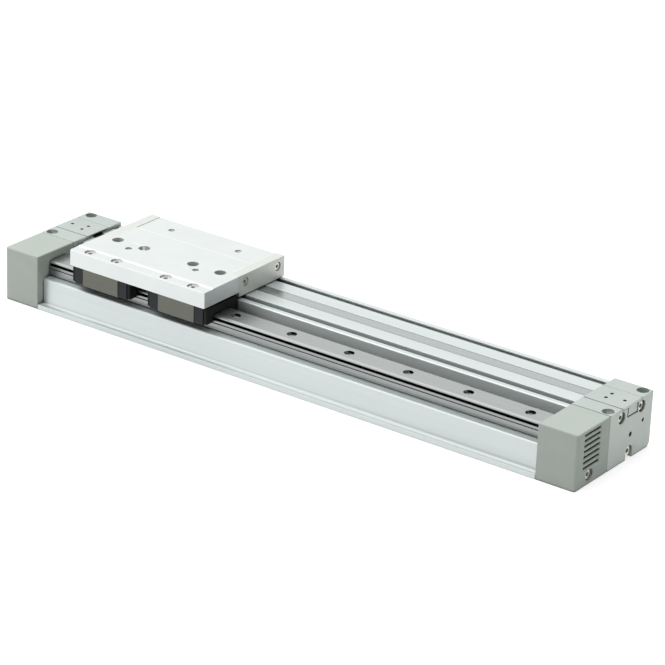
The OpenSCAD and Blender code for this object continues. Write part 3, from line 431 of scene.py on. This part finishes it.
def anodised_milled(name, base, metallic, finish, along):
    """Aluminium plate milled and clear anodised: paler than the extrusion, satin, with the
    cutter's fine lines across the piece. Its chamfers and rounds get a painted highlight,
    and its holes painted shade."""
    made, tree, shader, in_mm = new_material(name, base, metallic, roughness=0.42)
    scale = [MM / finish.mill_line * MARK_SQUEEZE] * 3
    scale[along] = MM / finish.mill_line
    lines = grain(tree, stretched(tree, in_mm, scale), detail=2.0)
    cloud = grain(tree, stretched(tree, in_mm, (0.05, 0.05, 0.05)), detail=2.0)
    # painted highlight on the chamfers and rounds
    metal = mixed(tree, chamfer_highlight_share(tree), tinted(tree, base, cloud, 0.965, 1.0),
                  finish.chamfer_highlight_colour)
    # painted shade in the holes and counterbores
    tree.links.new(recess_shaded(tree, metal, finish.hole_shade, finish.recess_reach),
                   shader.inputs["Base Color"])
    tree.links.new(spread(tree, lines, 0.38, 0.48), shader.inputs["Roughness"])
    bumped(tree, shader, lines, 0.003 * MM)
    return made


def painted_casting(finish):
    """Aluminium die casting with grey metallic enamel: satin, with a slight ripple in the
    paint."""
    made, tree, shader, in_mm = new_material("painted_casting", finish.cover_colour,
                                             metallic=0.4, roughness=0.42)
    scale = MM / finish.peel
    ripple = grain(tree, stretched(tree, in_mm, (scale,) * 3), detail=2.0)
    cloud = grain(tree, stretched(tree, in_mm, (0.08, 0.08, 0.08)), detail=3.0)
    paint = tinted(tree, finish.cover_colour, cloud, 0.95, 1.0)
    # painted shade in the seams and where other pieces stand near
    tree.links.new(recess_shaded(tree, paint, finish.seam_shade, finish.recess_reach, own_walls=False),
                   shader.inputs["Base Color"])
    tree.links.new(spread(tree, ripple, 0.38, 0.48), shader.inputs["Roughness"])
    bumped(tree, shader, ripple, 0.02 * MM)
    return made


def moulded_nylon(finish):
    """Glass-filled nylon with a metallic pigment, from a spark-eroded mould: finely pitted,
    warmer and a little darker than the paint beside it."""
    made, tree, shader, in_mm = new_material("moulded_nylon", finish.nylon_colour,
                                             metallic=0.1, roughness=0.5)
    scale = MM / finish.spark
    pits = grain(tree, stretched(tree, in_mm, (scale,) * 3), detail=4.0, rough=0.65)
    flow = grain(tree, stretched(tree, in_mm, (0.05, 0.05, 0.12)), detail=2.0)
    nylon = tinted(tree, finish.nylon_colour, flow, 0.95, 1.0)
    # painted shade in the seams and where other pieces stand near
    tree.links.new(recess_shaded(tree, nylon, finish.seam_shade, finish.recess_reach, own_walls=False),
                   shader.inputs["Base Color"])
    tree.links.new(spread(tree, pits, 0.5, 0.64), shader.inputs["Roughness"])
    bumped(tree, shader, pits, 0.03 * MM)
    return made


def ground_steel(name, base, flank_shade, roughness, finish):
    """Hardened bearing steel, surface ground: grey with a warm cast and fine lengthwise
    grinding lines. The upright faces, where the normal's z is below 0.3, have the colour
    flank_shade, a painted shade darker than the top. Its tracks and what lies under the
    carriage get painted shade too."""
    made, tree, shader, in_mm = new_material(name, base, metallic=1.0, roughness=roughness)
    lines = grain(tree, stretched(tree, in_mm, (0.02, 3.0, 3.0)), detail=3.0)
    broad = grain(tree, stretched(tree, in_mm, (0.012, 0.6, 0.6)), detail=2.0)
    steel = tinted(tree, base, broad, 0.95, 1.0)
    # painted shade: the upright faces painted darker than the top
    level = spread(tree, upwardness(tree), 0.0, 1.0, from_low=0.3, from_high=0.8)
    steel = mixed(tree, level, flank_shade, steel)
    # painted shade in the tracks; the next line adds painted shade under the carriage
    with_recess_shade = recess_shaded(tree, steel, finish.deep_shade, finish.recess_reach, clean=0.93, full=0.78)
    tree.links.new(shaded(tree, with_recess_shade, finish), shader.inputs["Base Color"])
    tree.links.new(spread(tree, lines, roughness - 0.06, roughness + 0.08),
                   shader.inputs["Roughness"])
    bumped(tree, shader, lines, 0.0015 * MM)
    return made


def rolled_strip(finish):
    """Stainless strip, cold rolled: smooth and bright, with rolling lines along its length."""
    made, tree, shader, in_mm = new_material("rolled_stainless", finish.band_colour,
                                             metallic=1.0, roughness=0.24)
    lines = grain(tree, stretched(tree, in_mm, (0.006, 1.6, 1.6)), detail=3.0)
    tree.links.new(tinted(tree, finish.band_colour, lines, 0.92, 1.0), shader.inputs["Base Color"])
    tree.links.new(spread(tree, lines, 0.2, 0.32), shader.inputs["Roughness"])
    return made


def screw_steel(name, base, metallic, finish):
    """Steel screws, nickel plated, zinc plated or blackened: semi-bright, a little uneven,
    with painted shade in the sockets."""
    made, tree, shader, in_mm = new_material(name, base, metallic, roughness=0.3)
    spots = grain(tree, stretched(tree, in_mm, (1.5, 1.5, 1.5)), detail=3.0)
    metal = tinted(tree, base, spots, 0.85, 1.0)
    # painted shade in the sockets
    tree.links.new(recess_shaded(tree, metal, finish.deep_shade, finish.socket_reach),
                   shader.inputs["Base Color"])
    tree.links.new(spread(tree, spots, 0.24, 0.4), shader.inputs["Roughness"])
    return made


def soft_polymer(name, base, roughness, size_mm, metallic=0.0, specular=0.5):
    """A moulded or turned polymer, rubber or brass piece: one colour with a slight cloud and
    a fine grain of the given size."""
    made, tree, shader, in_mm = new_material(name, base, metallic, roughness, specular)
    fine = grain(tree, stretched(tree, in_mm, (1 / size_mm,) * 3), detail=3.0)
    tree.links.new(tinted(tree, base, fine, 0.9, 1.0), shader.inputs["Base Color"])
    tree.links.new(spread(tree, fine, roughness - 0.05, roughness + 0.07),
                   shader.inputs["Roughness"])
    bumped(tree, shader, fine, 0.01 * MM)
    return made


def ray_is_seen(tree):
    """1 where the camera looks, straight or by way of a glossy or a clear surface."""
    path = add_node(tree, "ShaderNodeLightPath")
    mirror = add_node(tree, "ShaderNodeMath", {"operation": "MAXIMUM"},
                      in0=path.outputs["Is Glossy Ray"], in1=path.outputs["Is Transmission Ray"])
    return add_node(tree, "ShaderNodeMath", {"operation": "MAXIMUM"},
                    in0=path.outputs["Is Camera Ray"], in1=mirror.outputs[0]).outputs[0]


def floor_paper(stage):
    """Matt paper. Where the camera looks, straight or in a glossy surface, it also gives a
    light of its own, so that it meets the white background and still keeps the shadow."""
    made, tree, shader, _ = new_material("backdrop_paper", stage.floor_colour,
                                         metallic=0.0, roughness=1.0, specular=0.0)
    glow = add_node(tree, "ShaderNodeEmission",
                    {"Strength": stage.floor_glow, "Color": (1, 1, 1, 1)})
    both = add_node(tree, "ShaderNodeAddShader", in0=shader.outputs[0], in1=glow.outputs[0])
    picked = add_node(tree, "ShaderNodeMixShader", Fac=ray_is_seen(tree),
                      in1=shader.outputs[0], in2=both.outputs[0])
    tree.links.new(picked.outputs[0], tree.nodes["Material Output"].inputs["Surface"])
    return made


# ---- pieces --------------------------------------------------------------------------


def dress(names, material):
    """Gives the named CAD nodes one material."""
    for name in names:
        slots = frame["nodes"][name].data.materials
        slots.clear()
        slots.append(material)


def body_of_node(name):
    """The body that the CAD node moves with."""
    return frame["nodes"][name]["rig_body"]


def mount(name):
    """The record's mount of that name."""
    return next(m for m in frame["record"]["mounts"] if m["name"] == name)


def edge_is_broken(edge, width, shortest):
    """True for an outside corner between two flat faces that both have room for the round.
    A rim that belongs to a hole is left sharp, and so is an edge below the shortest length."""
    if len(edge.link_faces) != 2 or not edge.is_convex or edge.calc_length() < shortest:
        return False
    if edge.calc_face_angle() < CORNER_FOLD:
        return False
    for face in edge.link_faces:
        depth = face.calc_area() / edge.calc_length()
        if depth < ROOM_IN_WIDTHS * width and face.calc_area() < ROOMY_AREA:
            return False
        for other in face.edges:
            if len(other.link_faces) == 2 and not other.is_convex:
                if ROUND_FOLDS[0] < other.calc_face_angle() < ROUND_FOLDS[1]:
                    return False
    return True


def softened(name, material, width, segments, shortest=0.0):
    """A welded copy of a CAD node with its outside corners rounded by a bevel of the given
    width, which stands for the node."""
    mesh = frame["nodes"][name].data.copy()
    mesh.name = name + "_softened"
    bm = bmesh.new()
    bm.from_mesh(mesh)
    bmesh.ops.remove_doubles(bm, verts=bm.verts, dist=WELD)
    bmesh.ops.dissolve_limit(bm, angle_limit=FLAT_FOLD, verts=bm.verts, edges=bm.edges)
    weights = bm.edges.layers.float.new("bevel_weight_edge")
    for edge in bm.edges:
        edge[weights] = 1.0 if edge_is_broken(edge, width, shortest) else 0.0
    bm.to_mesh(mesh)
    bm.free()
    mesh.materials.clear()
    mesh.materials.append(material)
    mesh.polygons.foreach_set("use_smooth", [True] * len(mesh.polygons))
    mesh.set_sharp_from_angle(angle=SHARP_FOLD)
    piece = bpy.data.objects.new(name + "_shell", mesh)
    bpy.context.scene.collection.objects.link(piece)
    bevel = piece.modifiers.new("Broken edges", "BEVEL")
    bevel.limit_method = "WEIGHT"
    bevel.width = width
    bevel.segments = segments
    bevel.use_clamp_overlap = False
    bevel.miter_outer = "MITER_ARC"
    level = piece.modifiers.new("Level faces", "WEIGHTED_NORMAL")
    level.mode = "FACE_AREA"
    level.weight = 100
    level.keep_sharp = True
    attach(piece, body_of_node(name))
    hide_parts(name)


def coated(names, material, width, segments, shortest=0.0):
    """Dresses the named CAD nodes and gives each of them a softened shell."""
    dress(names, material)
    for name in names:
        softened(name, material, width, segments, shortest)


def grid_piece(name, points, closed_u, material, body, caps=False):
    """A mesh from a grid of points, rows by columns: quads join each point to its
    neighbours, and the columns close on themselves when closed_u is true. Caps close the
    first and the last row."""
    rows, cols = points.shape[:2]
    index = np.arange(rows * cols).reshape(rows, cols)
    right = np.roll(index, -1, axis=1) if closed_u else index[:, 1:]
    left = index if closed_u else index[:, :-1]
    quads = np.stack([left[:-1], right[:-1], right[1:], left[1:]], axis=-1).reshape(-1, 4)
    mesh = bpy.data.meshes.new(name)
    ends = [index[0][::-1].tolist(), index[-1].tolist()] if caps else []
    mesh.from_pydata(points.reshape(-1, 3).tolist(), [], quads.tolist() + ends)
    mesh.materials.append(material)
    mesh.polygons.foreach_set("use_smooth", [True] * len(mesh.polygons))
    mesh.update()
    piece = bpy.data.objects.new(name, mesh)
    bpy.context.scene.collection.objects.link(piece)
    if body:
        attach(piece, body)
    return piece


def thread_lining(name, mouth, direction, radius, depth, pitch, height, material, body):
    """The thread of a tapped hole. Going down the hole by v and round it by u, the wall
    stands in from the hole's radius by height * (0.5 - 0.5 * cos(2 pi (v / pitch - u / 2 pi))),
    so its crests wind one pitch per turn."""
    around = np.linspace(0, 2 * np.pi, THREAD_POINTS + 1)[:-1]
    down = np.linspace(0, depth, int(ROWS_PER_TURN * depth / pitch) + 1)
    u, v = np.meshgrid(around, down)
    fade = np.clip(np.minimum(v, depth - v) / (0.5 * pitch), 0, 1)
    inset = LINING_GAP + height * fade * (0.5 - 0.5 * np.cos(2 * np.pi * v / pitch - u))
    axis = Vector(direction).normalized()
    side = axis.orthogonal().normalized()
    other = axis.cross(side)
    r = (radius - inset)[..., None]
    points = (np.array(mouth) - v[..., None] * np.array(axis)
              + r * (np.cos(u)[..., None] * np.array(side)
                     + np.sin(u)[..., None] * np.array(other)))
    return grid_piece(name, points, True, material, body)


def strip_along(name, xs, zs, half_w, half_t, middle_y, material, body):
    """A rolled strip along x whose middle line is z(x). Its section is the superellipse
    |y / half_w| ** 6 + |z / half_t| ** 6 = 1, drawn by y = half_w * c(t) and z = half_t * s(t),
    where c and s are sign(cos t) * |cos t| ** (1/3) and the same of sin t."""
    t = np.linspace(0, 2 * np.pi, STRIP_POINTS + 1)[:-1]
    y = half_w * np.sign(np.cos(t)) * np.abs(np.cos(t)) ** (1 / 3)
    z = half_t * np.sign(np.sin(t)) * np.abs(np.sin(t)) ** (1 / 3)
    points = np.stack([np.repeat(xs[:, None], len(t), axis=1),
                       np.repeat(middle_y + y[None], len(xs), axis=0),
                       zs[:, None] + z[None]], axis=-1)
    piece = grid_piece(name, points[:, ::-1], True, material, body, caps=True)
    piece.data.set_sharp_from_angle(angle=STRIP_SHARP_FOLD)
    return piece


def band_in_two(material):
    """The dust band as a straight strip that stays in the tube's seat, and an arch in the
    table's pocket that travels with the table: between ARCH_TOP_END and ARCH_END from the
    table's middle its height goes down by (1 - cos(pi u)) / 2, with u from 0 to 1."""
    low, high = (np.array(corner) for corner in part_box("dust_band"))
    middle_y = (low[1] + high[1]) / 2
    half_w = (high[1] - low[1]) / 2
    seat_z = low[2] + BAND_HALF_T
    lift = high[2] - low[2] - 2 * BAND_HALF_T
    xs = np.linspace(low[0], high[0], STRAIGHT_ROWS)
    straight = strip_along("dust_band_straight", xs, np.full(STRAIGHT_ROWS, seat_z), half_w,
                           BAND_HALF_T, middle_y, material, "base")
    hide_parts("dust_band")
    table_low, table_high = (np.array(corner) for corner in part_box("slide_table"))
    middle_x = (table_low[0] + table_high[0]) / 2
    away = np.linspace(-ARCH_END, ARCH_END, ARCH_ROWS)
    u = np.clip((np.abs(away) - ARCH_TOP_END) / (ARCH_END - ARCH_TOP_END), 0, 1)
    heights = seat_z + lift * (1 - (1 - np.cos(np.pi * u)) / 2)
    strip_along("dust_band_arch", middle_x + away, heights, half_w, BAND_HALF_T, middle_y,
                material, "carriage")


# ---- stage ---------------------------------------------------------------------------


def make_floor(stage):
    """A level sheet: x and y run over a square grid and z is 0."""
    line = np.linspace(-0.5, 0.5, FLOOR_POINTS) * stage.floor_size
    x, y = np.meshgrid(line, line)
    floor = grid_piece("paper_floor", np.stack([x, y, np.zeros_like(x)], axis=-1), False,
                       floor_paper(stage), None)


def make_room(scene, stage):
    """A pale tent: white where the camera looks, and for the light that falls on the piece
    brightest overhead. With z up and x to the right, that light is
    sky * max(z, 0) ** DOME_POWER * (1 - lean * x) plus a weak even part. A glossy or a clear
    surface sees the tent in white too, dimmer by the share flag * x on its right side, and
    dimmer again for light that has already bounced between two walls."""
    world = bpy.data.worlds.new("pale_tent")
    scene.world = world
    world.use_nodes = True
    tree = world.node_tree
    back = tree.nodes["Background"]
    way = add_node(tree, "ShaderNodeTexCoord").outputs["Generated"]
    split = add_node(tree, "ShaderNodeSeparateXYZ", Vector=way)
    height = add_node(tree, "ShaderNodeMath", {"operation": "MAXIMUM"},
                      in0=split.outputs["Z"], in1=0.0)
    dome = add_node(tree, "ShaderNodeMath", {"operation": "POWER"}, in0=height.outputs[0],
                    in1=DOME_POWER)
    lean = add_node(tree, "ShaderNodeMath", {"operation": "MULTIPLY_ADD"},
                    in0=split.outputs["X"], in1=-stage.sky_lean, in2=1.0)
    both = add_node(tree, "ShaderNodeMath", {"operation": "MULTIPLY"}, in0=dome.outputs[0],
                    in1=lean.outputs[0])
    sky = add_node(tree, "ShaderNodeMath", {"operation": "MULTIPLY_ADD"}, in0=both.outputs[0],
                   in1=stage.sky_strength, in2=stage.even_strength)
    right = add_node(tree, "ShaderNodeMath", {"operation": "MAXIMUM"},
                     in0=split.outputs["X"], in1=0.0)
    flag = add_node(tree, "ShaderNodeMath", {"operation": "MULTIPLY_ADD"},
                    in0=right.outputs[0], in1=-stage.flag, in2=1.0)
    path = add_node(tree, "ShaderNodeLightPath")
    fade = spread(tree, path.outputs["Ray Depth"], 1.0, stage.bounce_fade, from_low=2.0,
                  from_high=3.0)
    faded = add_node(tree, "ShaderNodeMath", {"operation": "MULTIPLY"}, in0=flag.outputs[0],
                     in1=fade)
    white = add_node(tree, "ShaderNodeMath", {"operation": "MAXIMUM"}, in0=faded.outputs[0],
                     in1=path.outputs["Is Camera Ray"])
    pick = add_node(tree, "ShaderNodeMix", {"data_type": "FLOAT"}, in0=ray_is_seen(tree),
                    in2=sky.outputs[0], in3=white.outputs[0])
    tree.links.new(pick.outputs[0], back.inputs["Strength"])
    back.inputs["Color"].default_value = (1, 1, 1, 1)


def add_light(scene, name, kind, power, place, way):
    """A light that stands at a place and shines along way; returns its data."""
    data = bpy.data.lights.new(name, kind)
    data.energy = power
    light = bpy.data.objects.new(name, data)
    light.location = place
    light.rotation_mode = "QUATERNION"
    light.rotation_quaternion = way.to_track_quat("-Z", "Y")
    scene.collection.objects.link(light)
    return data


def make_key(scene, stage):
    """A broad soft light, high on the left."""
    way = Vector(KEY_WAY)
    key = add_light(scene, "key_light", "SUN", stage.key_strength, -way, way)
    key.angle = KEY_ANGLE


def make_fill(scene, stage):
    """A soft panel near the left cover, so that the near side is brighter at that end."""
    place = Vector(FILL_PLACE)
    target = Vector((CAD_BOX[0][0], CAD_BOX[0][1], CAD_BOX[1][2] / 2))
    fill = add_light(scene, "fill_panel", "AREA", stage.fill_strength, place, target - place)
    fill.shape = "SQUARE"
    fill.size = FILL_SIZE
    fill.spread = FILL_SPREAD


def make_camera(scene, stage):
    """The camera stands on three directions: right, up and back from what it looks at."""
    data = bpy.data.cameras.new("camera")
    data.sensor_width = 36
    data.lens = stage.camera_lens
    data.clip_start, data.clip_end = CAMERA_CLIPS
    camera = bpy.data.objects.new("camera", data)
    look = Vector(stage.camera_look).normalized()
    right = Vector(stage.camera_right).normalized()
    up = right.cross(look).normalized()
    turn = Matrix((right, up, -look)).transposed().to_4x4()
    camera.matrix_world = Matrix.Translation(Vector(stage.camera_place)) @ turn
    scene.collection.objects.link(camera)
    scene.camera = camera


# ---- operators -----------------------------------------------------------------------


class CYLINDER_OT_tube(Operator):
    """Dress the extruded tube"""

    bl_idname = "cylinder.tube"
    bl_label = "Tube"

    def execute(self, context):
        finish, edges = context.scene.cylinder_finish, context.scene.cylinder_edges
        coated(TUBE_NODES, anodised_extrusion(finish), edges.extruded_edge,
               edges.bevel_segments)
        return {"FINISHED"}


class CYLINDER_OT_covers(Operator):
    """Dress the head covers, their belt clamps and the moulded rail covers"""

    bl_idname = "cylinder.covers"
    bl_label = "End covers"

    def execute(self, context):
        finish, edges = context.scene.cylinder_finish, context.scene.cylinder_edges
        paint = painted_casting(finish)
        coated(HEAD_NODES, paint, edges.cast_edge, edges.bevel_segments,
               edges.shortest_cast)
        coated(CLAMP_NODES, paint, edges.ground_edge, edges.bevel_segments,
               edges.shortest_cast)
        coated(RAIL_COVER_NODES, moulded_nylon(finish), edges.moulded_edge,
               edges.bevel_segments)
        return {"FINISHED"}


class CYLINDER_OT_guide(Operator):
    """Dress the guide rail and its two blocks"""

    bl_idname = "cylinder.guide"
    bl_label = "Rail and blocks"

    def execute(self, context):
        finish, edges = context.scene.cylinder_finish, context.scene.cylinder_edges
        rail = ground_steel("ground_rail_steel", finish.rail_colour, finish.flank_shade_colour, 0.3,
                            finish)
        block = ground_steel("ground_block_steel", finish.block_colour, finish.block_colour,
                             0.36, finish)
        acetal = soft_polymer("black_acetal", finish.cap_colour, 0.45, 0.8, specular=0.25)
        rubber = soft_polymer("nitrile_wiper", finish.rubber_colour, 0.6, 0.5, specular=0.2)
        for names, material, slot_name in ((RAIL_NODES, rail, "ground_steel"),
                                           (BLOCK_NODES, block, "ground_steel"),
                                           (CAP_NODES, acetal, "cap_polymer"),
                                           (WIPER_NODES, rubber, "seal_rubber")):
            coated(names, material, edges.ground_edge, edges.bevel_segments)
        return {"FINISHED"}


class CYLINDER_OT_table(Operator):
    """Dress the slide table and its end plates, and cut the work holes' threads"""

    bl_idname = "cylinder.table"
    bl_label = "Slide table"

    def execute(self, context):
        finish, edges = context.scene.cylinder_finish, context.scene.cylinder_edges
        table = anodised_milled("anodised_table", finish.table_colour, 0.6, finish, 0)
        plate = anodised_milled("anodised_plate", finish.plate_colour, 0.35, finish, 2)
        coated(TABLE_NODES, table, edges.milled_edge, edges.bevel_segments)
        coated(PLATE_NODES, plate, edges.milled_edge, edges.bevel_segments)
        holes = mount("table_work_holes")
        dims = holes["dims"]
        for i, (sx, sy) in enumerate([(-1, -1), (1, -1), (-1, 1), (1, 1)]):
            away = MM * np.array([sx * dims["spacing_x_mm"], sy * dims["spacing_y_mm"], 0]) / 2
            mouth = (np.array(holes["pos_m"]) + away
                     - WORK_THREAD_START * np.array(holes["axis"]))
            thread_lining("work_hole_thread_%d" % (i + 1), mouth, holes["axis"],
                          dims["hole_r_mm"] * MM, WORK_THREAD, edges.thread_pitch,
                          edges.thread_depth, table, "carriage")
        return {"FINISHED"}


class CYLINDER_OT_fasteners(Operator):
    """Dress the screws and the plugs, and cut the threads of the air ports"""

    bl_idname = "cylinder.fasteners"
    bl_label = "Fasteners and ports"

    def execute(self, context):
        finish, edges = context.scene.cylinder_finish, context.scene.cylinder_edges
        brass = soft_polymer("turned_brass", finish.brass_colour, 0.3, 0.5, metallic=1.0)
        dress(BRIGHT_NODES, screw_steel("nickel_plated_steel", finish.screw_colour, 1.0, finish))
        dress(ZINC_NODES, screw_steel("zinc_plated_steel", finish.zinc_colour, 0.6, finish))
        dress(DARK_NODES, screw_steel("blackened_steel", finish.dark_colour, 1.0, finish))
        dress(BRASS_NODES, brass)
        paint = bpy.data.materials["painted_casting"]
        for name in ("port_left", "port_right"):
            port = mount(name)
            mouth = np.array(port["pos_m"]) - PORT_THREAD_START * np.array(port["axis"])
            thread_lining(name + "_thread", mouth, port["axis"], port["dims"]["r_mm"] * MM,
                          port["dims"]["length_mm"] * MM - PORT_THREAD_SHORTER,
                          edges.thread_pitch, edges.thread_depth, paint, "base")
        return {"FINISHED"}


class CYLINDER_OT_belts(Operator):
    """Dress the dust band, the seal belt, the piston and its seals"""

    bl_idname = "cylinder.belts"
    bl_label = "Belts and piston"

    def execute(self, context):
        finish = context.scene.cylinder_finish
        strip = rolled_strip(finish)
        dress(["dust_band"], strip)
        band_in_two(strip)
        dress(BELT_NODES, soft_polymer("polyurethane", finish.belt_colour, 0.45, 0.8))
        dress(PISTON_NODES, soft_polymer("natural_acetal", finish.piston_colour, 0.4, 0.8))
        dress(GASKET_NODES, soft_polymer("nitrile_rubber", finish.rubber_colour, 0.55, 0.5))
        dress(["piston_yoke"], anodised_milled("anodised_yoke", finish.plate_colour, 0.5,
                                               finish, 1))
        return {"FINISHED"}


class CYLINDER_OT_stage(Operator):
    """Set up the floor, the room, the key light and the camera"""

    bl_idname = "cylinder.stage"
    bl_label = "Stage"

    def execute(self, context):
        stage = context.scene.cylinder_stage
        make_floor(stage)
        make_room(context.scene, stage)
        make_key(context.scene, stage)
        make_fill(context.scene, stage)
        make_camera(context.scene, stage)
        view = context.scene.view_settings
        view.view_transform = "Standard"
        view.look = "None"
        view.exposure = 0.0
        view.gamma = 1.0
        return {"FINISHED"}


class CYLINDER_PT_panel(Panel):
    """Lists the cylinder's settings and operators"""

    bl_idname = "CYLINDER_PT_panel"
    bl_label = "Rodless Cylinder"
    bl_space_type = "VIEW_3D"
    bl_region_type = "UI"
    bl_category = "Cylinder"

    def draw(self, context):
        layout = self.layout
        for group in ("cylinder_finish", "cylinder_edges", "cylinder_stage"):
            box = layout.box()
            settings = getattr(context.scene, group)
            for name in settings.bl_rna.properties.keys():
                if name not in ("rna_type", "name"):
                    box.prop(settings, name)
        for operator in OPERATORS:
            layout.operator(operator.bl_idname)


GROUPS = {"cylinder_finish": CylinderFinish, "cylinder_edges": CylinderEdges,
          "cylinder_stage": CylinderStage}
OPERATORS = (CYLINDER_OT_tube, CYLINDER_OT_covers, CYLINDER_OT_guide, CYLINDER_OT_table,
             CYLINDER_OT_fasteners, CYLINDER_OT_belts, CYLINDER_OT_stage)


def register():
    for made in (*GROUPS.values(), *OPERATORS, CYLINDER_PT_panel):
        bpy.utils.register_class(made)
    for name, group in GROUPS.items():
        setattr(bpy.types.Scene, name, PointerProperty(type=group))


def unregister():
    for name in GROUPS:
        delattr(bpy.types.Scene, name)
    for made in (CYLINDER_PT_panel, *reversed(OPERATORS), *reversed(GROUPS.values())):
        bpy.utils.unregister_class(made)


def main():
    register()
    bpy.ops.cylinder.tube()
    bpy.ops.cylinder.covers()
    bpy.ops.cylinder.guide()
    bpy.ops.cylinder.table()
    bpy.ops.cylinder.fasteners()
    bpy.ops.cylinder.belts()
    bpy.ops.cylinder.stage()


if __name__ == "__main__":
    main()
